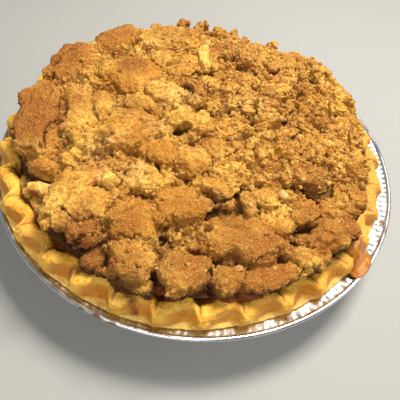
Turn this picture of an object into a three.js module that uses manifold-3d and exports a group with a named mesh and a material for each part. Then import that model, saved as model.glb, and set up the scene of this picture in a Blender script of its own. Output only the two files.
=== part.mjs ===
/**
 * A Dutch apple pie, baked and still whole, in its own foil tin.
 *
 * The tin is a thin pan with a sloping wall, a flat flange and a rolled bead. A pastry case lines it
 * and stands up over the flange as a fluted rim. Cooked apple fills the case, and a heap of crumble
 * lies over the apple, in clumps as large as a walnut and in small crumbs. A few pieces of apple and
 * two runs of syrup show outside.
 *
 * Millimetres, +Z up. The origin is on the table, under the middle of the tin.
 * Angles go anticlockwise from +X, seen from above: the front of the pie is at 270 degrees.
 */
import * as THREE from 'three';
import { mergeVertices } from 'three/addons/utils/BufferGeometryUtils.js';
import Module from 'manifold-3d';

const wasm = await Module();
wasm.setup();

// ---------------------------------------------------------------- driving dimensions

const GAP = 0.35; // air left between neighbouring pieces

// tin
const FOIL = 0.8; // the wall's thickness in this model
const TIN_BASE_RADIUS = 88;
const BASE_CHAMFER = 1.5;
const TIN_WALL_TOP_RADIUS = 112.4; // where the wall turns out into the flange
const TIN_FLANGE_Z = 31; // underside of the flange
const BEAD_RADIUS = 1.2; // the rolled edge is a wire-like tube
const TIN_RADIUS = 122.5; // outside of the bead
const BEAD_Z = 31.8;
const BEAD_CORNERS = [250, 320, 20, 80, 140]; // where the bead's round section has corners, in degrees
const WALL_BEND = 1.5; // width of the bend between the wall and the flange
const TIN_STEPS = 44;

// pastry case
const CASE_WALL = 4;
const CASE_FLOOR_Z = 6; // top of the pastry under the filling
const CASE_FLOOR_INSET = 2; // its corner with the wall is cut off
const RIM_RADIUS = 117.4; // where the pastry ends on the flange
const RIM_INNER_RADIUS = 103.6;
const RIM_DEPTH = 5; // from the crest down to where the case's wall begins inside
const RIM_SHIFT = [-2.8, -1.2]; // the rim was crimped a little off the tin's middle
const CREST_Z = 43.6;
const CREST_RISE = 1.8; // the rim stands this much higher at CREST_HIGH_AT, and lower opposite
const CREST_HIGH_AT = 165;
const RIM_WANDER = 0.4; // the rim's outline wanders in and out, and up and down, by this
const FLUTES = 34;
const FIRST_DENT_AT = 188; // azimuth of one of the pressed dents
const SOFT_PRESS = 0.5; // share by which the dents are shallower at SOFT_PRESS_AT
const SOFT_PRESS_AT = 357;
const SOFT_PRESS_WIDTH = 14; // half width in degrees
const STEPS_PER_FLUTE = 5;

// filling and topping
const FILLING_EDGE_Z = 38.5;
const FILLING_TOP_Z = 59.5;
const FILLING_RADIUS = 104; // where its dome would reach FILLING_EDGE_Z
const FILLING_LUMPS = 0.7; // height of its lumps
const FILLING_RINGS = [34, 62, 84, 97]; // where its lumpy top is sampled, from the middle out
const FILLING_STEPS = 40;
const HEAP_TOP_Z = 70.5; // tops of the crumble in the middle
const HEAP_FALL = 13; // the tops are this much lower at the heap's edge
const HEAP_TILT = 5; // and as much higher towards HEAP_HIGH_AT, and lower opposite
const HEAP_HIGH_AT = 150;
const HEAP_RADIUS = 102;
const HEAP_OVERHANG = 4.5; // the heap reaches this much further out at OVERHANG_AT
const OVERHANG_AT = 250;
const HEAP_EDGE_WAVES = [[1.3, 8, 0], [1.1, 13, 50]]; // height, how many round the heap, start
const HEAP_EDGE_FALL = [[0, 47.5], [0, 52], [-2, 58], [-6, 63], [-12, 69]]; // from the edge radius, z
const EDGE_BAYS = [[219, 7, 13], [350, 20, 3.5]]; // azimuth, half width in degrees, depth
const CLUMP_RISE = 8; // half the height of a clump
const CLUMP_ROUGHNESS = 0.065; // share of its size by which each of a clump's waves moves its skin
const CLUMP_BLUNTNESS = 1.5; // 1 is an ellipsoid, more is flatter on top with steeper sides
const BED_DEPTH = 5.5; // the crumble between the clumps lies this far under their tops
const BED_CELL = 4.7; // the heap's upper side is modelled in cells of this size
const BED_SHAKE = 0.9; // the cells' corners are moved sideways by this, so that no rows show
const BED_GRAIN = 0.6; // and up and down by this

// ---------------------------------------------------------------- helpers

const degrees = THREE.MathUtils.degToRad;
const { clamp, lerp, smoothstep } = THREE.MathUtils;

/** A repeatable source of random numbers between 0 and 1. */
function randomSource(seed) {
  let state = seed >>> 0;
  return () => {
    state = (state + 0x6d2b79f5) >>> 0;
    let t = Math.imul(state ^ (state >>> 15), 1 | state);
    t = (t + Math.imul(t ^ (t >>> 7), 61 | t)) ^ t;
    return ((t ^ (t >>> 14)) >>> 0) / 4294967296;
  };
}

/** 1 at an azimuth and falling to 0 beside it, in degrees. */
function nearTo(azimuth, at, width) {
  const turn = ((azimuth - at + 540) % 360) - 180;
  return Math.exp(-((turn / width) ** 2));
}

/** Only the closed surface: positions with shared corners, and no flattened triangles. */
function closed(geometry) {
  const bare = geometry.clone();
  for (const name of Object.keys(bare.attributes)) {
    if (name !== 'position') bare.deleteAttribute(name);
  }
  const merged = mergeVertices(bare, 1e-4);
  const corners = merged.index.array;
  const kept = [];
  for (let i = 0; i < corners.length; i += 3) {
    const [a, b, c] = [corners[i], corners[i + 1], corners[i + 2]];
    if (a !== b && b !== c && c !== a) kept.push(a, b, c);
  }
  merged.setIndex(kept);
  return signedVolume(merged) < 0 ? turnedOut(merged) : merged;
}

function signedVolume(geometry) {
  const at = (i) => new THREE.Vector3().fromBufferAttribute(geometry.attributes.position, i);
  const corners = geometry.index.array;
  let six = 0;
  for (let i = 0; i < corners.length; i += 3) {
    six += at(corners[i]).dot(at(corners[i + 1]).cross(at(corners[i + 2])));
  }
  return six / 6;
}

function turnedOut(geometry) {
  const corners = Array.from(geometry.index.array);
  for (let i = 0; i < corners.length; i += 3) {
    [corners[i + 1], corners[i + 2]] = [corners[i + 2], corners[i + 1]];
  }
  geometry.setIndex(corners);
  return geometry;
}

/** The solid inside a closed geometry, for joining and cutting. */
function solid(geometry) {
  const shape = closed(geometry);
  return new wasm.Manifold(new wasm.Mesh({
    numProp: 3,
    vertProperties: new Float32Array(shape.attributes.position.array),
    triVerts: new Uint32Array(shape.index.array),
  }));
}

/** The largest piece of a solid, as a geometry: loose scraps left by a cut are dropped. */
function surface(body) {
  const pieces = body.decompose().sort((a, b) => b.volume() - a.volume());
  const mesh = pieces[0].getMesh();
  const geometry = new THREE.BufferGeometry();
  geometry.setAttribute('position', new THREE.BufferAttribute(mesh.vertProperties.slice(), 3));
  geometry.setIndex(Array.from(mesh.triVerts));
  return geometry;
}

/**
 * A turned shape whose section changes round the axis: section(azimuth) gives the same number of
 * [radius, z, centre] points at each azimuth, where centre moves a point by that share of RIM_SHIFT.
 */
function turned(section, steps) {
  const points = section(0);
  const profile = points.map(([radius, z]) => new THREE.Vector2(radius, z));
  const geometry = new THREE.LatheGeometry(profile, steps);
  const position = geometry.attributes.position;
  for (let step = 0; step <= steps; step += 1) {
    const azimuth = (360 * (step % steps)) / steps;
    section(azimuth).forEach(([radius, z, centre = 0], j) => {
      position.setXYZ(
        step * points.length + j,
        radius * Math.cos(degrees(azimuth)) + centre * RIM_SHIFT[0],
        radius * Math.sin(degrees(azimuth)) + centre * RIM_SHIFT[1],
        z,
      );
    });
  }
  return geometry;
}

// ---------------------------------------------------------------- foil tin

const WALL_LEAN = (TIN_WALL_TOP_RADIUS - TIN_BASE_RADIUS) / TIN_FLANGE_Z;
const WALL_SIDEWAYS = Math.hypot(1, WALL_LEAN); // horizontal length of one unit across the wall

/** Radius of the tin's wall at a height, moved inwards by an amount measured across the wall. */
function wallRadius(z, inwards) {
  return TIN_BASE_RADIUS + WALL_LEAN * z - inwards * WALL_SIDEWAYS;
}

function tinSection(grow = 0) {
  const flangeTop = TIN_FLANGE_Z + FOIL + grow;
  const beadCentre = TIN_RADIUS - BEAD_RADIUS;
  const bead = BEAD_RADIUS + grow;
  const flangeEnd = beadCentre - bead * 0.8;
  const points = [
    [0, -grow],
    [TIN_BASE_RADIUS - BASE_CHAMFER, -grow],
    [wallRadius(1, -grow), 1],
    [wallRadius(TIN_FLANGE_Z - 1, -grow), TIN_FLANGE_Z - 1 - grow],
    [TIN_WALL_TOP_RADIUS + WALL_BEND, TIN_FLANGE_Z - grow],
    [flangeEnd, TIN_FLANGE_Z - grow],
  ];
  for (const turn of BEAD_CORNERS) {
    const across = bead * Math.cos(degrees(turn));
    points.push([beadCentre + across, BEAD_Z + bead * Math.sin(degrees(turn))]);
  }
  points.push(
    [flangeEnd - 0.6, flangeTop],
    [wallRadius(flangeTop, FOIL + grow) + 0.6, flangeTop],
    [wallRadius(FOIL + BASE_CHAMFER, FOIL + grow), FOIL + BASE_CHAMFER + grow],
    [wallRadius(FOIL, FOIL + grow) - BASE_CHAMFER, FOIL + grow],
    [0, FOIL + grow],
  );
  return points;
}

const tinGeometry = (grow) => turned(() => tinSection(grow), TIN_STEPS);

/** The flats between the tin's corners lie this much inside its circle. */
const TIN_FLAT = TIN_WALL_TOP_RADIUS * (1 - Math.cos(Math.PI / TIN_STEPS));

// ---------------------------------------------------------------- pastry case

const flutePitch = 360 / FLUTES;

/** -0.5 to 0.5 across a flute, 0 where the fingertip was. */
function flutePlace(azimuth) {
  const flute = (azimuth - FIRST_DENT_AT) / flutePitch;
  return flute - Math.round(flute);
}

/** How far the fingertip pushed the pastry in: slowly deeper, then steeply back to the next ridge. */
function pressed(azimuth, width) {
  const turn = azimuth - FIRST_DENT_AT;
  const uneven = 1 + 0.16 * Math.sin(degrees(13 * turn)) + 0.1 * Math.sin(degrees(29 * turn));
  const pressure = uneven * (1 - SOFT_PRESS * nearTo(azimuth, SOFT_PRESS_AT, SOFT_PRESS_WIDTH));
  const place = flutePlace(azimuth) / width;
  return smoothstep(place, -0.5, 0.2) * (1 - smoothstep(place, 0.26, 0.5)) * pressure;
}

/**
 * The rim's outline, from the flange up over the crest: on a ridge, in a dent, and a dent's width.
 * Each place is a distance in from RIM_RADIUS and a height over the flange's top. A dent is pressed
 * in steeply over a low ledge, and moves the crest inwards too, so that the rim runs in a zigzag.
 */
const RIM_OUTLINE = [
  { ridge: [2.4, 0], dent: [2.4, 0], width: 1 },
  { ridge: [0.9, 1.3], dent: [1.3, 1.1], width: 1 },
  { ridge: [0.3, 3.6], dent: [4.6, 1.9], width: 1 },
  { ridge: [0.2, 6.4], dent: [5.8, 4.4], width: 1 },
  { ridge: [1.5, 9.6], dent: [7, 8.8], width: 1 },
  { ridge: [4, 11.4], dent: [9.2, 10.9], width: 0.95 },
  { ridge: [7.6, 11.6], dent: [11.6, 11.2], width: 0.95 },
  { ridge: [10.6, 9.6], dent: [12.8, 9.4], width: 0.95 },
];

/** Height that the rim gains over its mean at an azimuth. */
function crestLift(azimuth) {
  const wander = RIM_WANDER * Math.sin(degrees(azimuth * 3 + 40));
  return CREST_RISE * Math.cos(degrees(azimuth - CREST_HIGH_AT)) + wander;
}

function caseSection(azimuth, grow = 0) {
  const flangeTop = TIN_FLANGE_Z + FOIL + GAP;
  const lift = crestLift(azimuth);
  const stretch = 1 + lift / (CREST_Z - flangeTop);
  const wander = RIM_WANDER * Math.sin(degrees(azimuth * 7));
  const inTin = FOIL + GAP + TIN_FLAT - grow;
  const points = [
    [0, FOIL + GAP - grow],
    [wallRadius(FOIL + GAP, inTin) - BASE_CHAMFER, FOIL + GAP - grow],
    [wallRadius(flangeTop, inTin), flangeTop - grow],
  ];
  for (const outline of RIM_OUTLINE) {
    const { ridge, dent, width } = outline;
    const push = pressed(azimuth, width);
    const outwards = outline === RIM_OUTLINE.at(-1) ? -grow : grow;
    const radius = RIM_RADIUS - lerp(ridge[0], dent[0], push) + wander + outwards;
    const up = lerp(ridge[1], dent[1], push) * stretch;
    points.push([radius, flangeTop + up + (up > 0 ? grow : -grow), 1]);
  }
  points.push(
    [RIM_INNER_RADIUS - grow, CREST_Z + lift - RIM_DEPTH, 1],
    [wallRadius(CASE_FLOOR_Z, CASE_WALL + FOIL) - CASE_FLOOR_INSET - grow, CASE_FLOOR_Z + grow],
    [0, CASE_FLOOR_Z + grow],
  );
  return points;
}

const caseGeometry = (grow) => turned((azimuth) => caseSection(azimuth, grow), FLUTES * STEPS_PER_FLUTE);

// ---------------------------------------------------------------- apple filling

/** Height of the filling's lumpy top. */
function fillingTop(radius, azimuth) {
  const slope = FILLING_EDGE_Z + (FILLING_TOP_Z - FILLING_EDGE_Z) * (1 - (radius / FILLING_RADIUS) ** 2);
  const rings = Math.sin(degrees(azimuth * 9)) * Math.cos(radius / 7);
  const lumps = rings + Math.sin(degrees(azimuth * 14 + 60));
  return slope + FILLING_LUMPS * lumps * smoothstep(radius, 20, 90);
}

function fillingSection(azimuth) {
  const floor = CASE_FLOOR_Z + GAP;
  const points = [
    [0, floor],
    [wallRadius(CASE_FLOOR_Z, CASE_WALL + FOIL) - CASE_FLOOR_INSET - GAP, floor],
    [RIM_INNER_RADIUS - 4 * GAP, CREST_Z + crestLift(azimuth) - RIM_DEPTH - 1, 1],
  ];
  for (const radius of FILLING_RINGS.toReversed()) {
    points.push([radius, fillingTop(radius, azimuth), radius / FILLING_RINGS.at(-1)]);
  }
  points.push([0, FILLING_TOP_Z]);
  return points;
}

const fillingGeometry = turned(fillingSection, FILLING_STEPS);

// ---------------------------------------------------------------- crumble clumps

/** Height of the tops of the crumble over a point: a low dome, higher at the back left. */
function crumbleTop(x, y) {
  const fall = HEAP_FALL * (Math.hypot(x, y) / HEAP_RADIUS) ** 2;
  const towardsHigh = x * Math.cos(degrees(HEAP_HIGH_AT)) + y * Math.sin(degrees(HEAP_HIGH_AT));
  return HEAP_TOP_Z - fall + (HEAP_TILT * towardsHigh) / HEAP_RADIUS;
}

/** A lumpy ball of crumble, fitted to half sizes along, across and up. */
function clumpGeometry({ at, half, turn, seed }) {
  const random = randomSource(seed);
  const waves = Array.from({ length: 4 }, () => ({
    along: new THREE.Vector3(random() - 0.5, random() - 0.5, random() - 0.5).normalize(),
    pace: 2.2 + 3 * random(),
    start: 6.28 * random(),
  }));
  const geometry = closed(new THREE.IcosahedronGeometry(1, 1));
  const position = geometry.attributes.position;
  const point = new THREE.Vector3();
  const place = new THREE.Matrix4().compose(
    new THREE.Vector3(...at),
    new THREE.Quaternion().setFromEuler(new THREE.Euler(0, 0, degrees(turn))),
    new THREE.Vector3(...half),
  );
  for (let i = 0; i < position.count; i += 1) {
    point.fromBufferAttribute(position, i);
    const lumps = waves.reduce((sum, w) => sum + Math.sin(point.dot(w.along) * w.pace + w.start), 0);
    point.multiplyScalar(1 + CLUMP_ROUGHNESS * lumps).applyMatrix4(place);
    position.setXYZ(i, point.x, point.y, point.z);
  }
  return geometry;
}

/**
 * The clumps that stand out: x, y, half length, half width, turn in degrees, and how far the top
 * rises over the general height of the crumble.
 */
const LARGE_CLUMPS = [
  // left, from the back forwards
  [-66, 65, 17, 13, 40, 0.5], [-88, 32, 20, 14, 75, 1], [-90, -20, 30, 15, -72, 1.5],
  [-68, -16, 29, 11, -70, 1], [-57, -10, 17, 8, -65, 0.5], [-46, 22, 22, 17, -40, 1.5],
  [-53, -71, 24, 16, 92, 2.5], [-55, -32, 10, 7, 10, 0], [-77, -52, 8, 5, 0, -1],
  // middle
  [-38, -24, 18, 16, -20, 2.5], [-8, -13, 17, 9, -12, 2], [-2, -38, 11, 11, 0, 1],
  [-20, -37, 14, 8, -10, 0.5], [-22, -54, 14, 9, -10, 0.5], [-25, -77, 14, 13, 0, 2],
  [-4, -66, 15, 12, 20, 2], [-38, -4, 10, 8, 0, 0], [-26, 9, 14, 10, -20, 0.5],
  [9, -30, 10, 9, 0, 0.5], [19, -42, 10, 9, 0, 0], [8, -54, 11, 8, 10, 0], [13, -13, 12, 8, 20, 0],
  // back
  [-30, 68, 23, 15, 15, 1.5], [14, 60, 22, 17, -8, 2.5], [52, 66, 19, 15, -35, 1],
  [80, 42, 17, 14, -60, 1], [-22, 40, 17, 13, 0, 0.5], [42, 36, 15, 11, 20, 0],
  // right and front
  [27, -77, 20, 14, 5, 2], [60, -33, 13, 9, -20, 2], [78, -48, 15, 10, 35, 1],
  [86, -18, 14, 12, 80, 1], [71, -66, 20, 12, 37, 3], [38, -53, 9, 7, 0, 0.5],
  [60, -56, 11, 9, 40, 0.5], [45, -66, 11, 7, 10, 0.5], [70, -6, 12, 9, 30, 0], [86, 14, 13, 10, 80, 0.5],
];

/** Clumps of the outer row, which lean over the pastry: azimuth, distance, middle's z, half sizes. */
const EDGE_CLUMPS = [
  [247, 104, 47, 7, 6, 6], [257, 99, 52, 13, 10, 9],
  [258, 107, 49, 13, 6, 5], [271, 99, 52, 13, 10, 9], [284, 100, 49, 10, 7, 7],
  [295, 102, 49, 19, 7, 6], [306, 101, 51, 8, 7, 7], [316, 98, 52, 15, 9, 8],
  [334, 95, 52, 12, 8, 8], [350, 90.5, 53, 14, 8, 7], [7, 91, 53, 13, 7.5, 6.5],
  [26, 95, 54, 12, 7, 7.5], [42, 94, 56, 14, 8, 8],
  [160, 97, 56, 15, 7, 9], [186, 95, 55, 26, 8, 9],
];

/** Crumbs between the clumps: how many of each size, within a ring sector. */
const CRUMBS = [
  { count: 60, from: 0, to: 360, near: 0, far: 93, size: [5, 8], rise: -1.5 },
  { count: 90, from: -45, to: 85, near: 8, far: 95, size: [3.4, 5.5], rise: 0 },
];

function largeClumps() {
  return LARGE_CLUMPS.map(([x, y, along, across, turn, rise]) => {
    const top = crumbleTop(x, y) + rise;
    return { at: [x, y, top - CLUMP_RISE], half: [along, across, CLUMP_RISE], turn };
  });
}

function crumbs() {
  const random = randomSource(7);
  return CRUMBS.flatMap(({ count, from, to, near, far, size, rise }) => (
    Array.from({ length: count }, (_, i) => {
      const azimuth = degrees(from + ((to - from) * (i + random())) / count);
      const distance = Math.sqrt(lerp(near ** 2, far ** 2, random()));
      const across = lerp(size[0], size[1], random());
      const [x, y] = [distance * Math.cos(azimuth), distance * Math.sin(azimuth)];
      const top = crumbleTop(x, y) + rise + 1.5 * random();
      return { at: [x, y, top - across], half: [across * 1.2, across, across], turn: 180 * random() };
    })
  ));
}

function edgeClumps() {
  return EDGE_CLUMPS.map(([azimuth, distance, z, along, across, up], i) => ({
    at: [distance * Math.cos(degrees(azimuth)), distance * Math.sin(degrees(azimuth)), z],
    half: [along, across, up],
    turn: azimuth + 90,
    seed: 51 + i,
  }));
}

// ---------------------------------------------------------------- crumble topping

/** Height of a clump's upper side over a point, or nothing where the point is beside it. */
function clumpTop({ at, half, turn }, x, y) {
  const [dx, dy] = [x - at[0], y - at[1]];
  const [c, s] = [Math.cos(degrees(turn)), Math.sin(degrees(turn))];
  const reach = ((dx * c + dy * s) / half[0]) ** 2 + ((dy * c - dx * s) / half[1]) ** 2;
  return reach < 1 ? at[2] + half[2] * Math.sqrt(1 - reach ** CLUMP_BLUNTNESS) : -Infinity;
}

/** The heap's upper side over a flat base: a lumpy bed with the clumps on it. */
function crumbleBed(heap) {
  const side = 2 * (HEAP_RADIUS + HEAP_OVERHANG + 2);
  const cells = Math.round(side / BED_CELL);
  const geometry = new THREE.BoxGeometry(side, side, 2, cells, cells, 1);
  const position = geometry.attributes.position;
  for (let i = 0; i < position.count; i += 1) {
    const isTop = position.getZ(i) > 0;
    const x = position.getX(i) + BED_SHAKE * Math.sin(position.getY(i) * 1.7);
    const y = position.getY(i) + BED_SHAKE * Math.sin(position.getX(i) * 2.3);
    const grain = Math.sin(x / 3.1) * Math.sin(y / 3.7) + Math.sin((x + y) / 2.3);
    const bed = crumbleTop(x, y) - BED_DEPTH;
    const top = heap.reduce((highest, clump) => Math.max(highest, clumpTop(clump, x, y)), bed);
    position.setXYZ(i, x, y, isTop ? top + BED_GRAIN * grain : 0);
  }
  return geometry;
}

/** The heap's outer limits: the filling under it, and an uneven edge that leans over the pastry. */
function heapRoomSection(azimuth) {
  const lean = HEAP_OVERHANG * Math.cos(degrees(azimuth - OVERHANG_AT));
  const lumps = HEAP_EDGE_WAVES
    .reduce((sum, [high, count, start]) => sum + high * Math.sin(degrees(azimuth * count + start)), 0);
  const bays = EDGE_BAYS.reduce((sum, [at, width, depth]) => sum + depth * nearTo(azimuth, at, width), 0);
  const edge = HEAP_RADIUS + lean + lumps - bays;
  const crest = CREST_Z + crestLift(azimuth);
  const points = [[0, FILLING_TOP_Z + GAP]];
  for (const radius of FILLING_RINGS) {
    points.push([radius, fillingTop(radius, azimuth) + GAP, radius / FILLING_RINGS.at(-1)]);
  }
  points.push([RIM_INNER_RADIUS - 2, crest - 4, 1], [RIM_INNER_RADIUS + 0.5, crest + 0.8, 1]);
  for (const [out, z] of HEAP_EDGE_FALL) points.push([edge + out, z]);
  points.push([0, 2 * HEAP_TOP_Z]);
  return points.reverse(); // in the filling's order, so that their facets lie parallel
}

// ---------------------------------------------------------------- apple pieces

/** A bent slice of apple with rounded ends, fitted to half sizes and moved to its place. */
function sliceGeometry({ at, half, bend, turn, tilt = 0, roll = 0 }, grow = 0) {
  const geometry = closed(new THREE.SphereGeometry(1, 8, 7));
  const position = geometry.attributes.position;
  const point = new THREE.Vector3();
  const place = new THREE.Matrix4().makeRotationFromEuler(
    new THREE.Euler(degrees(roll), degrees(tilt), degrees(turn), 'ZYX'),
  );
  place.setPosition(...at);
  const square = (v) => Math.sign(v) * Math.abs(v) ** 0.75;
  for (let i = 0; i < position.count; i += 1) {
    point.fromBufferAttribute(position, i);
    const along = point.x;
    point.set(
      along * (half[0] + grow),
      square(point.y) * (half[1] + grow) - bend * along * along,
      square(point.z) * (half[2] + grow),
    ).applyMatrix4(place);
    position.setXYZ(i, point.x, point.y, point.z);
  }
  return geometry;
}

const APPLE_PIECES = {
  apple_slice_back: { at: [-6, 46.5, 66], half: [14.5, 4, 4.5], bend: 2, turn: 99, tilt: 6 },
  apple_slice_left: { at: [-76, -60.5, 48.5], half: [9.5, 4, 4.5], bend: 0.8, turn: -8, roll: 25 },
  apple_slice_front: { at: [31, -101, 42.5], half: [11, 2.6, 3], bend: 0.8, turn: 16 },
  apple_chunk_front: { at: [-4, -103, 44], half: [8, 3, 4], bend: 0.5, turn: 0 },
  apple_chunk_left: { at: [-41, -58.5, 62.5], half: [3.8, 4.4, 4], bend: 0, turn: 60 },
};

// ---------------------------------------------------------------- syrup

/**
 * A run of syrup over the rim: a flattened roll that follows points [distance, z] at one azimuth,
 * with half widths and half thicknesses along it. What lies under it is cut away afterwards.
 */
function syrupGeometry({ azimuth, path, widths, thick, drift }, grow = 0) {
  const sides = 8;
  const curve = new THREE.CatmullRomCurve3(path.map(([distance, z]) => new THREE.Vector3(distance, 0, z)));
  const steps = 8;
  const profile = Array.from({ length: steps + 1 }, (_, i) => (
    new THREE.Vector2(i === 0 || i === steps ? 0 : 1, i)
  ));
  const geometry = new THREE.LatheGeometry(profile, sides);
  const position = geometry.attributes.position;
  const outwards = new THREE.Vector3();
  const normal = new THREE.Vector3();
  for (let side = 0; side <= sides; side += 1) {
    const around = (2 * Math.PI * (side % sides)) / sides;
    for (let i = 0; i <= steps; i += 1) {
      const share = i / steps;
      const middle = curve.getPointAt(share);
      outwards.copy(curve.getTangentAt(share));
      normal.set(-outwards.z, 0, outwards.x);
      const blunt = Math.sqrt(clamp(1 - (2 * share - 1) ** 6, 0, 1));
      const across = Math.cos(around) * blunt * (sampled(widths, share) + grow) + drift * (share - 0.5);
      const up = Math.sin(around) * blunt * (sampled(thick, share) + grow);
      middle.addScaledVector(normal, up).setY(across);
      middle.applyAxisAngle(new THREE.Vector3(0, 0, 1), degrees(azimuth));
      position.setXYZ(side * (steps + 1) + i, middle.x, middle.y, middle.z);
    }
  }
  return geometry;
}

/** Value of a short list of numbers, read smoothly at a share of its length. */
function sampled(values, share) {
  const place = share * (values.length - 1);
  const index = Math.min(Math.floor(place), values.length - 2);
  return lerp(values[index], values[index + 1], place - index);
}

const SYRUP_RUNS = {
  syrup_drip: {
    azimuth: 325,
    path: [[104, 44.2], [109, 43], [113, 39], [116.5, 34.4], [122.6, 32.9]],
    widths: [4, 6.5, 8.5, 10, 9.5],
    thick: [1.4, 1.5, 1.6, 1.7, 1.3],
    drift: -3,
  },
  syrup_smear: {
    azimuth: 21,
    path: [[103.2, 43], [106.2, 43], [110.2, 41], [113.2, 37.4], [114.8, 33.8]],
    widths: [6, 8, 9, 8, 6],
    thick: [1.2, 1.4, 1.5, 1.6, 1.2],
    drift: -5,
  },
};

// ---------------------------------------------------------------- the pieces, fitted together

const finishes = {
  foil: new THREE.MeshStandardMaterial({ color: 0xd9d9db, roughness: 0.32, metalness: 1 }),
  pastry: new THREE.MeshStandardMaterial({ color: 0xdba548, roughness: 0.6, metalness: 0 }),
  filling: new THREE.MeshStandardMaterial({ color: 0x6a3514, roughness: 0.35, metalness: 0 }),
  crumble: new THREE.MeshStandardMaterial({ color: 0xb98443, roughness: 0.85, metalness: 0 }),
  apple: new THREE.MeshStandardMaterial({ color: 0xdfc070, roughness: 0.5, metalness: 0 }),
  syrup: new THREE.MeshStandardMaterial({ color: 0xa8560f, roughness: 0.12, metalness: 0 }),
};

const pie = new THREE.Group();

function addPiece(name, geometry, finish) {
  const mesh = new THREE.Mesh(closed(geometry), finishes[finish]);
  mesh.name = name;
  pie.add(mesh);
}

const roomForCase = solid(caseGeometry(GAP));
const roomForTin = solid(tinGeometry(GAP));
const applePieces = Object.entries(APPLE_PIECES);
const roomForApple = applePieces
  .map(([, piece]) => solid(sliceGeometry(piece, GAP)))
  .reduce((all, one) => all.add(one));

const roomForSyrup = Object.values(SYRUP_RUNS)
  .map((run) => solid(syrupGeometry(run, GAP)))
  .reduce((all, one) => all.add(one));

const heapRoom = solid(turned(heapRoomSection, FILLING_STEPS));
const crumbleBody = solid(crumbleBed([...largeClumps(), ...crumbs()])).intersect(heapRoom);
const crumble = edgeClumps()
  .map((clump) => solid(clumpGeometry(clump)))
  .reduce((heap, clump) => heap.add(clump), crumbleBody)
  .subtract(roomForCase)
  .subtract(roomForApple)
  .subtract(roomForSyrup);

addPiece('foil_pan', tinGeometry(0), 'foil');
addPiece('pastry_case', caseGeometry(0), 'pastry');
addPiece('apple_filling', surface(solid(fillingGeometry).subtract(roomForApple)), 'filling');
addPiece('crumb_topping', surface(crumble), 'crumble');
for (const [name, piece] of applePieces) {
  addPiece(name, surface(solid(sliceGeometry(piece)).subtract(roomForCase)), 'apple');
}
for (const [name, run] of Object.entries(SYRUP_RUNS)) {
  const body = solid(syrupGeometry(run)).subtract(roomForCase).subtract(roomForTin);
  addPiece(name, surface(body), 'syrup');
}

export default pie;
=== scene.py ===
# %% [markdown]
# # A Dutch apple pie in its foil tin
#
# A whole pie, seen from above and in front: a bright foil tin, a crimped pastry rim, and a domed heap
# of baked crumble with dark gaps, bits of apple and a run of syrup. The rough heap is the subject, so
# most of this lesson is about making clumps and crumbs that look torn and baked, not moulded.
#
# The solids of the frame give every size. Each of them is replaced here by a finer piece of the same
# form in the same place.

# %% Load the frame
import math

import bmesh
import bpy
import numpy as np
from mathutils import Euler, Matrix, Vector


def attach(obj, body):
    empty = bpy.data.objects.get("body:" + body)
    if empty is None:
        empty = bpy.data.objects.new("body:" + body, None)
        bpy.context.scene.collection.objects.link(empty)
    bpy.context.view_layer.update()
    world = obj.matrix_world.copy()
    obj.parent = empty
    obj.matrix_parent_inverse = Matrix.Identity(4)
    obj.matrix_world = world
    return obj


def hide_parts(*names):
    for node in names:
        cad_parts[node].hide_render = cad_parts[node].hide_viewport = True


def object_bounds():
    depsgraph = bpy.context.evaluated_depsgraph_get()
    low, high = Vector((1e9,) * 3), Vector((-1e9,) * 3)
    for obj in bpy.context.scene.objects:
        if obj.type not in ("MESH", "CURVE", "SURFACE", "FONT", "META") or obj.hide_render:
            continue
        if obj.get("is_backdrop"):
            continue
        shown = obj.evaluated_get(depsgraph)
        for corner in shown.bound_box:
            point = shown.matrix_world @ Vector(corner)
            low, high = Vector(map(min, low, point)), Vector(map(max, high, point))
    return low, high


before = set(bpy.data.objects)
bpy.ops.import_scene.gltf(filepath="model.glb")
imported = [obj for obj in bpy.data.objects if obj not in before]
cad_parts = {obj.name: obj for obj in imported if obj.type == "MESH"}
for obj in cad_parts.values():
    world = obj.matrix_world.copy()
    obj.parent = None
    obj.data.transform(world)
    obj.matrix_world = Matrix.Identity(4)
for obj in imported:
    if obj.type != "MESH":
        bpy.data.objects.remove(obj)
cad_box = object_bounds()
MM = 0.001  # one millimetre in Blender's metres
scene = bpy.context.scene
print("solids:", ", ".join(sorted(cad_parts)))

# %% [markdown]
# ## Small tools for meshes
#
# `mesh_object` makes a mesh from points in millimetres. The object itself stays at the origin and is
# never turned, so that patterns on Object coordinates stay where they are. `read` and `store` carry
# numbers between a mesh and numpy, where most of the shaping below is done.


# %% Helpers for meshes
def linked(name, data):
    """A new object of the scene, for a mesh, a lamp or a camera."""
    new = bpy.data.objects.new(name, data)
    scene.collection.objects.link(new)
    return new


def mesh_object(name, points, faces, edges=()):
    """A smooth mesh object from points in millimetres."""
    mesh = bpy.data.meshes.new(name)
    mesh.from_pydata((np.asarray(points, float) * MM).tolist(), edges, [tuple(f) for f in faces])
    mesh.shade_smooth()
    mesh.update()
    return linked(name, mesh)


def read(elements, name, width=1):
    """A number, or a row of numbers, from each vertex or attribute value of a mesh."""
    flat = np.empty(len(elements) * width, np.float32)
    elements.foreach_get(name, flat)
    return flat.reshape(-1, width) if width > 1 else flat


def points_of(piece):
    """A mesh's points in millimetres, one row each."""
    return read(piece.data.vertices, "co", 3).astype(float) / MM


def move_points(piece, points):
    piece.data.vertices.foreach_set("co", (np.asarray(points) * MM).astype(np.float32).ravel())
    piece.data.update()


def store(piece, **numbers):
    """Numbers on every point of a mesh, for a material or a tree to read."""
    for name, values in numbers.items():
        attribute = piece.data.attributes.new(name, "FLOAT", "POINT")
        attribute.data.foreach_set("value", np.asarray(values, np.float32))


def triangles(piece):
    return sum(len(face.vertices) - 2 for face in piece.data.polygons)


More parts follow.
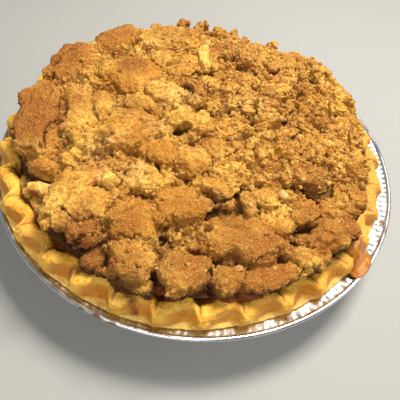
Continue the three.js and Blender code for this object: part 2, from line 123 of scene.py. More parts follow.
def applied(piece):
    """The piece with its modifiers turned into a plain mesh."""
    seen = piece.evaluated_get(bpy.context.evaluated_depsgraph_get())
    mesh = bpy.data.meshes.new_from_object(seen)
    piece.modifiers.clear()
    old = piece.data
    piece.data = mesh
    mesh.name = piece.name
    bpy.data.meshes.remove(old)
    return piece


print("helpers ready")

# %% [markdown]
# ## The camera
#
# The photo's camera looks down at about 53 degrees, close enough that the near side of the rim looks
# wider than the far side. It is also turned a little about its own line of sight, as a phone held in
# one hand is. So the camera gets a tilt about the world's X axis first, and then the roll about its
# own axis. A wrong roll shows at once: the tin's rim would lean the other way.

# %% Place the camera
CAMERA_PLACE = (4.9 * MM, -187.1 * MM, 228.3 * MM)
CAMERA_ELEVATION = math.radians(53.06)
CAMERA_ROLL = math.radians(8.35)
CAMERA_LENS = 37.8  # millimetres
SENSOR_WIDTH = 36  # millimetres

camera_data = bpy.data.cameras.new("camera")
camera_data.lens = CAMERA_LENS
camera_data.sensor_width = SENSOR_WIDTH
camera = linked("camera", camera_data)
tilt = Matrix.Rotation(math.pi / 2 - CAMERA_ELEVATION, 4, "X")
camera.matrix_world = Matrix.Translation(CAMERA_PLACE) @ tilt @ Matrix.Rotation(CAMERA_ROLL, 4, "Z")
scene.camera = camera
print("camera at", [round(c, 3) for c in camera.location])

# %% [markdown]
# ## Floor and light
#
# The floor is plain and pale. The light is soft but not flat: a large lamp behind and above the pie
# skims over the crumble, so that each clump has a bright back and a shaded front as in the photo, and
# weaker lamps at the front and the right keep the shaded sides readable. The world is a pale dome
# that the foil can mirror.

# %% Build the floor, the lamps and the world
FLOOR_HALF = 3000
FLOOR_COLOUR = (0.34, 0.34, 0.335, 1)
FLOOR_ROUGHNESS = 0.7
PIE_MIDDLE = Vector((0, 0, 50 * MM))
LAMPS = (  # name, place in metres, size in metres, watts, colour
    ("key", (0.20, 0.24, 0.76), 0.24, 10.6, (1.0, 0.95, 0.84)),
    ("fill", (-0.1, -0.6, 0.6), 0.5, 3.0, (1.0, 0.96, 0.88)),
    ("side", (0.75, 0.0, 0.45), 0.4, 1.2, (1.0, 0.97, 0.92)),
)
WORLD_COLOUR = (0.93, 0.95, 1.0, 1)
WORLD_STRENGTH = 0.22

scene.view_settings.view_transform = "Standard"
corners = [(x * FLOOR_HALF, y * FLOOR_HALF, 0) for x, y in ((-1, -1), (1, -1), (1, 1), (-1, 1))]
floor = mesh_object("floor", corners, [(0, 1, 2, 3)])
floor_material = bpy.data.materials.new("pale_floor")
floor_material.use_nodes = True
floor_shader = floor_material.node_tree.nodes["Principled BSDF"]
floor_shader.inputs["Base Color"].default_value = FLOOR_COLOUR
floor_shader.inputs["Roughness"].default_value = FLOOR_ROUGHNESS
floor.data.materials.append(floor_material)
floor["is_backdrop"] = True

for name, place, size, watts, colour in LAMPS:
    data = bpy.data.lights.new(name, "AREA")
    data.size, data.energy, data.color = size, watts, colour
    lamp = linked(name, data)
    lamp.location = place
    lamp.rotation_euler = (PIE_MIDDLE - Vector(place)).to_track_quat("-Z", "Y").to_euler()

world = bpy.data.worlds.new("studio")
scene.world = world
world.use_nodes = True
background = world.node_tree.nodes["Background"]
background.inputs["Color"].default_value = WORLD_COLOUR
background.inputs["Strength"].default_value = WORLD_STRENGTH

# %% [markdown]
# ## Node trees written as formulas
#
# Shader trees and geometry trees are both built from nodes, and `add_node` puts one node into either
# kind. What it gives back is a `Value`, which can be reckoned with: `1 - a * b` adds the two Math nodes
# that work it out. So a tree of thirty nodes reads as a few lines of sums, and it is still made of
# plain nodes, as if each had been placed by hand.


# %% Helpers for node trees
def feed(socket, value):
    """Links a Value to an input, or sets the input to a plain number, colour or name."""
    if isinstance(value, Value):
        socket.id_data.links.new(value.socket, socket)
    else:
        socket.default_value = value


def new_node(tree, kind, inputs=None, **settings):
    """One new node: its settings by name, and its inputs by name or number."""
    new = tree.nodes.new(kind)
    for name, value in settings.items():
        setattr(new, name, value)
    for key, value in (inputs or {}).items():
        feed(new.inputs[key], value)
    return new


def add_node(tree, kind, inputs=None, output=0, **settings):
    """One output of a new node."""
    return Value(new_node(tree, kind, inputs, **settings).outputs[output])


print("node helpers ready")

# %% [markdown]
# ### A value that can be reckoned with
#
# Python lets a class say what `+`, `-`, `*` and `/` do to it. Here each of them adds a Math node.


# %% Values
class Value:
    """What a node gives out. Sums of values add Math nodes."""

    def __init__(self, socket):
        self.socket, self.tree = socket, socket.id_data

    def maths(self, operation, other=0.0, swap=False):
        """The result of one Math node; swap puts the other value first."""
        inputs = {0: other, 1: self} if swap else {0: self, 1: other}
        return add_node(self.tree, "ShaderNodeMath", inputs, operation=operation)

    def __add__(self, other):
        return self.maths("ADD", other)

    def __mul__(self, other):
        return self.maths("MULTIPLY", other)

    def __sub__(self, other):
        return self.maths("SUBTRACT", other)

    def __rsub__(self, other):
        return self.maths("SUBTRACT", other, swap=True)

    def __truediv__(self, other):
        return self.maths("DIVIDE", other)

    def __rtruediv__(self, other):
        return self.maths("DIVIDE", other, swap=True)

    def vector(self, operation, other=None, factor=None):
        """The result of one Vector Math node."""
        inputs = {key: v for key, v in ((0, self), (1, other), (3, factor)) if v is not None}
        return add_node(self.tree, "ShaderNodeVectorMath", inputs, operation=operation)

    def spread(self, low, high, to_low=0.0, to_high=1.0):
        """The value stretched smoothly from one range to another, and clamped."""
        inputs = {0: self, 1: low, 2: high, 3: to_low, 4: to_high}
        return add_node(self.tree, "ShaderNodeMapRange", inputs, interpolation_type="SMOOTHSTEP")


print("values ready")

# %% [markdown]
# ## What the surfaces are made of
#
# Baked food is never one colour. Each finish below starts from two browns mixed by noise, and then lays
# more colours over them, each where a number says so. The shapes store those numbers on their points:
# how deep a spot lies between the clumps, how long it stood up into the heat, where a hollow holds shade
# and butter. Object coordinates in metres place the noise, so a scale of 100 gives cells of about a
# centimetre. Colours are written as the screen shows them, 0 to 255, and `rgb` makes them linear.


# %% Helpers for materials
def rgb(red, green, blue):
    """A screen colour as Blender's linear colour."""
    linear = []
    for c in (red, green, blue):
        linear.append((c / 255 / 12.92) if c <= 10 else ((c / 255 + 0.055) / 1.055) ** 2.4)
    return (*linear, 1.0)


class Paint:
    """A new material, with the values that its tree can start from."""

    def __init__(self, name):
        self.material = bpy.data.materials.new(name)
        self.material.use_nodes = True
        self.tree = self.material.node_tree
        self.place = add_node(self.tree, "ShaderNodeTexCoord", output="Object")

    def noise(self, scale, detail=4.0, roughness=0.55, stretch=None):
        place = self.place
        if stretch:
            place = add_node(self.tree, "ShaderNodeMapping", {"Vector": place, "Scale": stretch})
        inputs = {"Vector": place, "Scale": scale, "Detail": detail, "Roughness": roughness}
        return add_node(self.tree, "ShaderNodeTexNoise", inputs)

    def stored(self, name):
        return add_node(self.tree, "ShaderNodeAttribute", output="Fac", attribute_name=name)

    def mixed(self, share, under, over):
        inputs = {0: share, 6: under, 7: over}
        return add_node(self.tree, "ShaderNodeMix", inputs, output=2, data_type="RGBA")

    def colours(self, share, first, second, *layers):
        """Two colours mixed, and each layer over them: (where it lies, colour)."""
        colour = self.mixed(share, rgb(*first), rgb(*second))
        for where, over in layers:
            colour = self.mixed(where, colour, rgb(*over))
        return colour

    def finish(self, height, distance, strength, **inputs):
        """The material, with a bump and the shader's inputs: base_color is Base Color, and so on."""
        bump = {"Height": height, "Distance": distance, "Strength": strength}
        inputs["normal"] = add_node(self.tree, "ShaderNodeBump", bump)
        shader = self.tree.nodes["Principled BSDF"]
        for name, value in inputs.items():
            feed(shader.inputs[name.replace("_", " ").title().replace("Ior", "IOR")], value)
        return self.material


print("material helpers ready")

# %% [markdown]
# ## Helpers for Geometry Nodes
#
# A Geometry Nodes tree is a small program with named inputs, and a modifier runs it on a piece. Every
# tree here takes a geometry, its sizes and a material. It ends by making its instances real and
# setting the material, so that nothing is lost when the result is turned into a plain mesh. A
# modifier's input isn't set by its name but by its identifier, which `use_tree` looks up.

# %% Helpers for Geometry Nodes
FLOAT, WHOLE, FINISH = "NodeSocketFloat", "NodeSocketInt", "NodeSocketMaterial"


def new_tree(name, **sizes):
    """A Geometry Nodes tree and its inputs: lump_size becomes Lump Size, with its default."""
    tree = bpy.data.node_groups.new(name, "GeometryNodeTree")
    tree.interface.new_socket("Geometry", in_out="INPUT", socket_type="NodeSocketGeometry")
    for label, default in sizes.items():
        kind = WHOLE if isinstance(default, int) else FLOAT
        socket = tree.interface.new_socket(titled(label), in_out="INPUT", socket_type=kind)
        socket.default_value = default
    tree.interface.new_socket("Material", in_out="INPUT", socket_type=FINISH)
    tree.interface.new_socket("Geometry", in_out="OUTPUT", socket_type="NodeSocketGeometry")
    outputs = tree.nodes.new("NodeGroupInput").outputs
    return tree, {socket.name: Value(socket) for socket in outputs if socket.name}


def titled(name):
    return name.replace("_", " ").title()


def ended(tree, given, geometry):
    """The tree with its last nodes: instances made real, and the material set."""
    real = add_node(tree, "GeometryNodeRealizeInstances", {"Geometry": geometry})
    inputs = {"Geometry": real, "Material": given["Material"]}
    painted = add_node(tree, "GeometryNodeSetMaterial", inputs)
    feed(tree.nodes.new("NodeGroupOutput").inputs[0], painted)
    return tree


def kept(tree, geometry, name, value, domain="POINT"):
    """The geometry with a number stored on it."""
    inputs = {"Geometry": geometry, "Name": name, "Value": value}
    return add_node(tree, "GeometryNodeStoreNamedAttribute", inputs, data_type="FLOAT", domain=domain)


def known(tree, name):
    """A number that is stored on the geometry."""
    return add_node(tree, "GeometryNodeInputNamedAttribute", {"Name": name}, data_type="FLOAT")


def use_tree(piece, tree, **values):
    """Puts a tree on a piece and sets its inputs by identifier: lump_size sets Lump Size."""
    modifier = piece.modifiers.new(tree.name, "NODES")
    modifier.node_group = tree
    sockets = {s.name: s.identifier for s in tree.interface.items_tree if s.in_out == "INPUT"}
    for name, value in values.items():
        modifier[sockets[titled(name)]] = value
    return piece


print("helpers for Geometry Nodes ready")

# %% [markdown]
# ## Lumps, pebbles and cracks by Geometry Nodes
#
# One tree serves every rough surface of the pie. It moves each point along its normal by layers: wide
# waves from noise, lumps and pebbles from a Voronoi texture, which gives round tops with sharp valleys
# as packed crumbs have, and a fine grain. Last come the cracks of the baked crust: they follow the
# borders of large Voronoi cells, but only here and there, where a slow noise lets them. A number `calm`
# on a piece makes its waves, lumps, pebbles and cracks lower where it is above 0. How high a point sits
# in the pebbles and how deep in a crack is stored for the material. The seed is the noise's fourth
# coordinate.


# %% Build the relief tree
def waves(tree, place, seed, size, height, detail):
    """Noise from minus height to plus height, for cells of a size."""
    inputs = {"Vector": place, "W": seed, "Scale": 1.0 / size, "Detail": detail}
    value = add_node(tree, "ShaderNodeTexNoise", inputs, noise_dimensions="4D")
    return (value - 0.5) * (height * 3.0)


def warped(tree, place, size):
    """The place shifted by noise, so that cells of this size don't look like a honeycomb."""
    inputs = {"Vector": place, "Scale": 0.7 / size, "Detail": 2.0}
    colour = add_node(tree, "ShaderNodeTexNoise", inputs, output="Color")
    return place.vector("ADD", colour.vector("SCALE", factor=size * 1.6))


def cells(tree, place, size):
    """Round tops with sharp valleys, 1 on a top and about 0 in a valley."""
    inputs = {"Vector": warped(tree, place, size), "Scale": 1.0 / size, "Smoothness": 0.2}
    distance = add_node(tree, "ShaderNodeTexVoronoi", inputs, output="Distance", feature="SMOOTH_F1")
    return 1.0 - distance * 1.2


def cracks(tree, place, size, width):
    """1 along the middle of a crack and 0 away from it."""
    inputs = {"Vector": warped(tree, place, size), "Scale": 1.0 / size}
    distance = add_node(
        tree, "ShaderNodeTexVoronoi", inputs, output="Distance", feature="DISTANCE_TO_EDGE")
    slow = add_node(tree, "ShaderNodeTexNoise", {"Vector": place, "Scale": 1.3 / size})
    return distance.spread(width / size, 0.0) * slow.spread(0.48, 0.56)


def relief_tree():
    tree, given = new_tree(
        "relief", wave_size=0.02, wave_height=0.0, lump_size=0.009, lump_height=0.0,
        pebble_size=0.003, pebble_height=0.0, grain_size=0.0014, grain_height=0.0,
        crack_size=0.026, crack_width=0.0012, crack_depth=0.0, seed=1.0)
    place = add_node(tree, "GeometryNodeInputPosition")
    pebble = cells(tree, place, given["Pebble Size"])
    lump = cells(tree, place, given["Lump Size"])
    calm = known(tree, "calm")
    lively = 1.0 - calm
    crack = cracks(tree, place, given["Crack Size"], given["Crack Width"]) * lively
    swell = given["Wave Height"] * calm.spread(0.0, 1.0, 1.0, 0.3)
    height = waves(tree, place, given["Seed"], given["Wave Size"], swell, 3.0)
    height += (lump - 0.5) * (given["Lump Height"] * lively)
    height += (pebble - 0.5) * (given["Pebble Height"] * lively.maths("SQRT"))
    height += waves(tree, place, given["Seed"], given["Grain Size"], given["Grain Height"], 1.0)
    height += crack * (given["Crack Depth"] * -1.0)
    push = add_node(tree, "GeometryNodeInputNormal").vector("SCALE", factor=height)
    moved = {"Geometry": given["Geometry"], "Offset": push}
    geometry = add_node(tree, "GeometryNodeSetPosition", moved)
    geometry = kept(tree, geometry, "pebble", pebble)
    return ended(tree, given, kept(tree, geometry, "crack", crack))


RELIEF = relief_tree()
print("tree:", RELIEF.name, "with", len(RELIEF.nodes), "nodes")

# %% [markdown]
# ## The foil tin
#
# A foil tin is stamped from one thin sheet: a flat base, a leaning wall, a narrow flange and a rolled
# bead. As the sheet is drawn into the mould its wall gathers in fine pleats, which run out over the
# flange as faint ribs. A turned profile alone would look like a steel bowl. So Geometry Nodes sweep the
# profile round a circle and then shake the wall and flange with a wave that has one crest a pleat.

# %% The tin's sizes and its profile
FOIL = 0.8
GAP = 0.35
TIN_BASE_RADIUS = 88
TIN_WALL_TOP_RADIUS = 112.4
TIN_FLANGE_Z = 31
BEAD_RADIUS = 1.2
TIN_RADIUS = 122.5
BEAD_Z = 31.8
WALL_LEAN = (TIN_WALL_TOP_RADIUS - TIN_BASE_RADIUS) / TIN_FLANGE_Z
WALL_SIDEWAYS = math.hypot(1, WALL_LEAN)
PLEATS = 190
STEPS_PER_PLEAT = 6
SWEEP_RADIUS = 100  # the circle that carries the profile
BASE_STEPS = ((0, 0), (30, 0), (31, 1), (60, 1), (61, 0))  # radius, and 1 where the base is raised
BASE_RISE = (0.35, 0.3)  # of the raised ring, on the underside and on top
FLANGE_STEP = ((118.2, 0), (118.7, 0.3), (120, 0.3))  # radius, and rise over the flange


def wall_radius(z, inwards=0.0):
    """Radius of the tin's wall at a height, measured inwards across the foil."""
    return TIN_BASE_RADIUS + WALL_LEAN * z - inwards * WALL_SIDEWAYS


def tin_profile():
    """The sheet cut through, from the middle of its underside round the bead to the middle inside."""
    top = TIN_FLANGE_Z + FOIL
    outside = [(radius, BASE_RISE[0] * up) for radius, up in BASE_STEPS] + [(TIN_BASE_RADIUS - 1.5, 0)]
    outside += [(wall_radius(z), z) for z in (0.4, 1.2, 5, 10, 15, 20, 25, 29.5)]
    outside += [(TIN_WALL_TOP_RADIUS + 0.6, 30.6), (TIN_WALL_TOP_RADIUS + 1.6, TIN_FLANGE_Z)]
    outside += [(radius, TIN_FLANGE_Z + rise) for radius, rise in FLANGE_STEP]
    for degrees in (235, 260, 285, 310, 335, 0, 25, 50, 75, 100, 125, 148):
        turn = math.radians(degrees)
        outside.append((TIN_RADIUS - BEAD_RADIUS + BEAD_RADIUS * math.cos(turn),
                        BEAD_Z + BEAD_RADIUS * math.sin(turn)))
    inside = [(119.7, top + 0.25), (118.9, top + 0.25), (118.3, top - 0.05)]
    inside += [(TIN_WALL_TOP_RADIUS + 1.2, top), (wall_radius(30.5, FOIL) + 0.2, 31)]
    inside += [(wall_radius(z, FOIL), z) for z in (28, 23, 18, 13, 8, 4, 2)]
    inside.append((wall_radius(FOIL, FOIL) - 1.2, FOIL))
    inside += [(radius, FOIL + BASE_RISE[1] * up) for radius, up in reversed(BASE_STEPS)]
    return outside + inside


print("profile:", len(tin_profile()), "points")

# %% [markdown]
# ### Pleats
#
# The wave's phase is the azimuth times the number of pleats. A slow noise drifts it, because real
# pleats aren't evenly spaced. The wave moves the wall outwards and the flange up, each only inside
# its own zone, which fades in and out so that nothing steps.


# %% Build the tin's tree
WALL_FADE = (0.006, 0.026)  # heights in metres between which the wall has its full pleats
RIBS_IN, RIBS_OUT = (0.114, 0.116), (0.1195, 0.1180)  # radii where the flange's ribs rise and end
DRIFT_SCALE, DRIFT_TURNS = 25.0, 9.0  # of the noise that shifts the pleats, in radians


def foil_tree():
    tree, given = new_tree("foil", pleats=180.0, pleat_depth=0.0003, rib_height=0.0001,
                           wall_foot=0.0, wall_top=0.0)
    section = add_node(tree, "GeometryNodeMeshToCurve", {"Mesh": given["Geometry"]})
    inputs = {"Resolution": PLEATS * STEPS_PER_PLEAT, "Radius": SWEEP_RADIUS * MM}
    circle = add_node(tree, "GeometryNodeCurvePrimitiveCircle", inputs)
    inputs = {"Curve": circle, "Profile Curve": section}
    swept = add_node(tree, "GeometryNodeCurveToMesh", inputs)
    place = add_node(tree, "GeometryNodeInputPosition")
    x, y, z = map(Value, new_node(tree, "ShaderNodeSeparateXYZ", {0: place}).outputs)
    radius = (x * x + y * y).maths("SQRT")
    drift = add_node(tree, "ShaderNodeTexNoise", {"Vector": place, "Scale": DRIFT_SCALE})
    wave = (y.maths("ARCTAN2", x) * given["Pleats"] + drift * DRIFT_TURNS).maths("SINE")
    on_wall = z.spread(given["Wall Foot"], WALL_FADE[0]) * z.spread(given["Wall Top"], WALL_FADE[1])
    outwards = place.vector("MULTIPLY", (1, 1, 0)).vector("NORMALIZE")
    sideways = outwards.vector("SCALE", factor=wave * on_wall * given["Pleat Depth"])
    on_flange = radius.spread(*RIBS_IN) * radius.spread(*RIBS_OUT)
    up = wave * on_flange * given["Rib Height"]
    lift = add_node(tree, "ShaderNodeCombineXYZ", {"Z": up})
    inputs = {"Geometry": swept, "Offset": sideways.vector("ADD", lift)}
    shaken = add_node(tree, "GeometryNodeSetPosition", inputs)
    inputs = {"Geometry": shaken, "Distance": 0.00001}
    return ended(tree, given, add_node(tree, "GeometryNodeMergeByDistance", inputs))


FOIL_TREE = foil_tree()
print("tree:", FOIL_TREE.name, "for", PLEATS, "pleats")

# %% [markdown]
# ### Foil
#
# Foil mirrors its surroundings, but every wrinkle bends the mirror. A full metal with a low roughness
# and two bumps does it: long soft dents from handling, and the rolling lines of the sheet. Here and
# there syrup and butter ran down and baked on, and where a spot of them lies the surface isn't metal.

# %% The foil's material, and the tin
FOIL_SPOTS = (  # x, y, z, radius
    (112.6, -36.9, 32, 2.6), (117, -15.9, 32, 1.2), (55.9, -104.2, 32, 1.8), (-35.9, -118, 31, 4.5),
    (-27.7, -120.7, 31, 4), (-44, -114.5, 31, 3),
)


def spotted(paint, rows):
    """1 in the middle of each round spot and 0 outside, with ragged edges."""
    most = 0.0
    ragged = paint.noise(500, 3) * 0.8
    for x, y, z, radius in rows:
        inputs = {0: paint.place, 1: (x * MM, y * MM, z * MM)}
        far = add_node(paint.tree, "ShaderNodeVectorMath", inputs, output="Value", operation="DISTANCE")
        most = (far / (radius * MM) + ragged).spread(1.4, 0.9).maths("MAXIMUM", most)
    return most


def foil_material():
    paint = Paint("pressed_foil")
    dents = paint.noise(60, 2)
    rolling = paint.noise(400, 2, 0.5, stretch=(1, 0.06, 1))
    spots_on_foil = spotted(paint, FOIL_SPOTS)
    colour = paint.colours(dents.spread(0.3, 0.7), (228, 229, 231), (206, 207, 210),
                           (spots_on_foil, (122, 78, 26)))
    return paint.finish(dents + rolling * 0.12, 0.0012, 0.35, base_color=colour,
                        metallic=1.0 - spots_on_foil, roughness=rolling.spread(0.3, 0.7, 0.2, 0.34))


def tidied(piece, distance=0.005):
    """Doubles merged, faces without area dropped, and normals turned outwards."""
    bm = bmesh.new()
    bm.from_mesh(piece.data)
    bmesh.ops.remove_doubles(bm, verts=bm.verts, dist=distance * MM)
    bmesh.ops.dissolve_degenerate(bm, edges=bm.edges, dist=distance * MM / 10)
    bmesh.ops.recalc_face_normals(bm, faces=bm.faces)
    bm.to_mesh(piece.data)
    bm.free()
    piece.data.update()
    return piece


def foil_pan():
    points = [(radius - SWEEP_RADIUS, -z, 0) for radius, z in tin_profile()]
    tin = mesh_object("foil_tin", points, [], [(i, i + 1) for i in range(len(points) - 1)])
    applied(use_tree(tin, FOIL_TREE, pleats=float(PLEATS), pleat_depth=0.00045, rib_height=0.00016,
                     wall_foot=0.0015, wall_top=0.0305, material=foil_material()))
    tidied(tin, 0.002)
    tin.data.shade_smooth()
    return tin


TIN = foil_pan()
print("tin:", triangles(TIN), "triangles, size", [round(c * 1000, 1) for c in TIN.dimensions])

# %% [markdown]
# ## The pastry
#
# The pastry lines the tin and ends in a crimped rim: thirty-four flutes, each pressed with a fingertip
# from the outside, so that the crest runs in a zigzag and every dent shows a steep facet with a ledge
# below it. Crimping is a rule, so the rim is computed: a cut through a ridge, a cut through a dent, and
# between them a smooth blend that depends on the angle. The pressure varies from finger to finger.
#
# ### Round pieces
#
# The pastry and the filling are round about the pie's middle, but not exactly: each point's radius and
# height depend on the angle. `ring` gives one row of points round the middle, `through` refines such
# rows by a curve, and `turned_grid` skins them. The pastry was laid in by hand, so its rim sits a little
# off the tin's middle: `ring` moves a row by a share of that shift. `smoothstep` and `near_to` say where
# something happens: they rise from 0 to 1 along a number or beside an azimuth.


# %% Helpers for round pieces
RIM_SHIFT = (-2.8, -1.2)  # millimetres


def around(steps):
    """Angles once round."""
    return np.arange(steps) * 2 * math.pi / steps


def ring(angles, radius, z, shift=0.0):
    """One row of points; radius and z are one number or one for each angle."""
    return np.column_stack([radius * np.cos(angles) + shift * RIM_SHIFT[0],
                            radius * np.sin(angles) + shift * RIM_SHIFT[1], z * np.ones_like(angles)])


def turned_grid(rows):
    """Points and faces from rows of shape (row, step round, 3)."""
    rows = np.asarray(rows, float)
    count, steps = rows.shape[:2]
    faces = []
    for row in range(count - 1):
        for step in range(steps):
            a, b = row * steps + step, row * steps + (step + 1) % steps
            faces.append((a, b, b + steps, a + steps))
    return rows.reshape(-1, 3), faces


def smoothstep(x, low, high):
    """0 up to low and 1 from high on, with a smooth rise between; low may be the larger."""
    share = np.clip((x - low) / (high - low), 0, 1)
    return share * share * (3 - 2 * share)


def near_to(angle, at, half_width):
    """1 at an azimuth and falling to 0 beside it; at and half_width are in degrees."""
    turn = (np.degrees(angle) - at + 180) % 360 - 180
    return np.exp(-((turn / half_width) ** 2))


def through(rows, steps):
    """Rows of points refined by a Catmull-Rom curve that passes through each of them."""
    rows = np.asarray(rows, float)
    padded = np.concatenate([2 * rows[:1] - rows[1:2], rows, 2 * rows[-1:] - rows[-2:-1]])
    result = []
    for i in range(len(rows) - 1):
        before, start, end, after = padded[i : i + 4]
        square = 2 * before - 5 * start + 4 * end - after
        cube = 3 * start - before - 3 * end + after
        for t in np.arange(steps) / steps:
            bend = square * t**2 + cube * t**3
            result.append(0.5 * (2 * start + (end - before) * t + bend))
    return np.array(result + [rows[-1]])


print("helpers for round pieces ready")

# %% [markdown]
# ### The rim's sizes
#
# The rim is given by two cuts through it. Each row of the outline says where the skin runs on a ridge
# and where in a dent, from the foot on the tin's flange over the crest to the filling.

# %% The pastry's sizes
RIM_RADIUS = 117.4
RIM_INNER_RADIUS = 103.6
RIM_DEPTH = 5
RIM_WAVE = (7, 0.4)  # how many times round, and how far the rim wanders outwards
CREST_Z = 43.6
CREST_RISE = 1.8
CREST_HIGH_AT = math.radians(165)
CREST_WAVE = (3, 0.4, math.radians(40))  # how many times round, height, and where it starts
FLUTES = 34
FIRST_DENT_AT = math.radians(188)
FINGER_WAVES = ((13, 0.16), (29, 0.1))  # how many times round, and share of the pressure
SOFT_PRESS = (357, 14, 0.5)  # azimuth and half width in degrees, and how much shallower the dents are
STEPS_PER_FLUTE = 30
ROW_STEPS = 6
CASE_WALL = 4
CASE_FLOOR = 6
CASE_FOOT_IN, CASE_FLOOR_IN = 1.5, 2  # how far the corners at the foot stay off the wall
FLANGE_TOP = TIN_FLANGE_Z + FOIL + GAP
TIN_FLAT = TIN_WALL_TOP_RADIUS * (1 - math.cos(math.pi / 44))  # the solid tin's sides are flat

# Each row: (distance in from the rim, height over the flange) on a ridge, the same in a dent, how
# much of a flute the dent takes there, and how deep the skin is pinched between two flutes.
RIM_OUTLINE = (
    ((2.4, 0), (2.4, 0), 1, 0),
    ((0.9, 1.3), (1.3, 1.1), 1, 0),
    ((0.3, 3.6), (4.6, 1.9), 1, 0),
    ((0.2, 6.4), (5.8, 4.4), 1, 0),
    ((1.5, 9.6), (7.0, 8.8), 1, 0.3),
    ((4.0, 11.4), (9.2, 10.9), 0.95, 0.8),
    ((7.6, 11.6), (12.4, 11.2), 0.95, 1.3),
    ((10.6, 9.6), (14.6, 9.4), 0.95, 1.4),
)
PINCH_WAVE = (17, 0.6, 0.4)  # how many times round, mean share of the pinch's depth, and its change
RIM_INSIDE = (12.2, 15.4, 0.95)  # where the filling starts: in on a ridge, in a dent, and width


def crest_lift(angle):
    times, height, start = CREST_WAVE
    return CREST_RISE * np.cos(angle - CREST_HIGH_AT) + height * np.sin(times * angle + start)


def rim_crest(angle):
    return CREST_Z + crest_lift(angle)


def flute_place(angle):
    """-0.5 to 0.5 across a flute, 0 where the fingertip was."""
    flute = (angle - FIRST_DENT_AT) * FLUTES / (2 * math.pi)
    return flute - np.round(flute)


def pressed(angle, width):
    """How far the pastry is pushed in: slowly deeper, then steeply back to the next ridge."""
    pressure = 1
    for times, share in FINGER_WAVES:
        pressure = pressure + share * np.sin(times * (angle - FIRST_DENT_AT))
    at, half_width, share = SOFT_PRESS
    pressure = pressure * (1 - share * near_to(angle, at, half_width))
    place = flute_place(angle) / width
    return smoothstep(place, -0.5, 0.2) * smoothstep(place, 0.5, 0.26) * pressure


def pinched(angle):
    """1 in the thin crack between two ridges."""
    return smoothstep(np.abs(np.abs(flute_place(angle)) - 0.5), 0.05, 0.0)


print("flutes:", FLUTES, "crest from", round(float(rim_crest(CREST_HIGH_AT + math.pi)), 1), "mm up")

# %% [markdown]
# ### The rim's skin
#
# The rows of the outline are computed for every angle at once, refined by a curve through them, and
# closed by the hidden parts: the wall inside the tin, and the inside under the filling. Seven numbers
# are kept for the material. `hollow` marks the steep facets and the lower outer side, where butter
# pooled and browned, and where painted shade darkens the faces that turn down and out; `ledge` the foot
# below them, made paler as painted light where it faces up; `crest` the top edge; `inner` the side next
# to the filling, darkened as painted shade where it turns down; and `pinch` the thin cracks between the
# flutes, darkened as painted shade. `stain` marks where syrup ran over the rim, and one painted shadow
# in a flute, and `tan` the side that baked evenly brown. Most of them follow `along`, which counts the
# outline's rows from 0 at the foot.

# %% Make the pastry
# Syrup stains on the rim, and at (-50, -101) a painted shadow in a flute.
STAINS_AND_SHADOW = (  # x, y, radius, strength
    (-23, -104.5, 4.6, 1), (-21.5, -108, 3.8, 1), (-19, -111.5, 3, 1), (-17.5, -114.5, 2.4, 1),
    (88, 58, 3, 1), (97, 35, 2.5, 1), (-50, -101, 4, 1), (110, 2, 3, 1),
)
TAN_AT = (352, 40)  # azimuth and half width in degrees
PALE_HOLLOWS = ((350, 28, 0.7), (282, 16, 0.35))  # the same, and how much weaker the facets' browning and painted shade are


def spots(points, rows, outer=1.25, inner=0.5):
    """The strongest of some soft round spots at each point: x, y, radius and strength of each."""
    result = np.zeros(len(points))
    for x, y, radius, strength in rows:
        distance = np.hypot(points[:, 0] - x, points[:, 1] - y)
        result = np.maximum(result, strength * smoothstep(distance, outer * radius, inner * radius))
    return result


def rim_rows(angles):
    """The outline's rows from the foot over the crest to the filling."""
    stretch = 1 + crest_lift(angles) / (CREST_Z - FLANGE_TOP)
    times, share, more = PINCH_WAVE
    rows = []
    for ridge, dent, width, pinch in RIM_OUTLINE:
        push = pressed(angles, width)
        inwards = ridge[0] + (dent[0] - ridge[0]) * push
        pinch = pinch * pinched(angles) * (share + more * np.sin(times * angles))
        height = ridge[1] + (dent[1] - ridge[1]) * push - pinch
        radius = RIM_RADIUS - inwards + RIM_WAVE[1] * np.sin(RIM_WAVE[0] * angles)
        rows.append(ring(angles, radius, FLANGE_TOP + height * stretch, 1))
    ridge, dent, width = RIM_INSIDE
    inside = ridge + (dent - ridge) * pressed(angles, width)
    return rows + [ring(angles, RIM_RADIUS - inside, rim_crest(angles) - RIM_DEPTH, 1)]


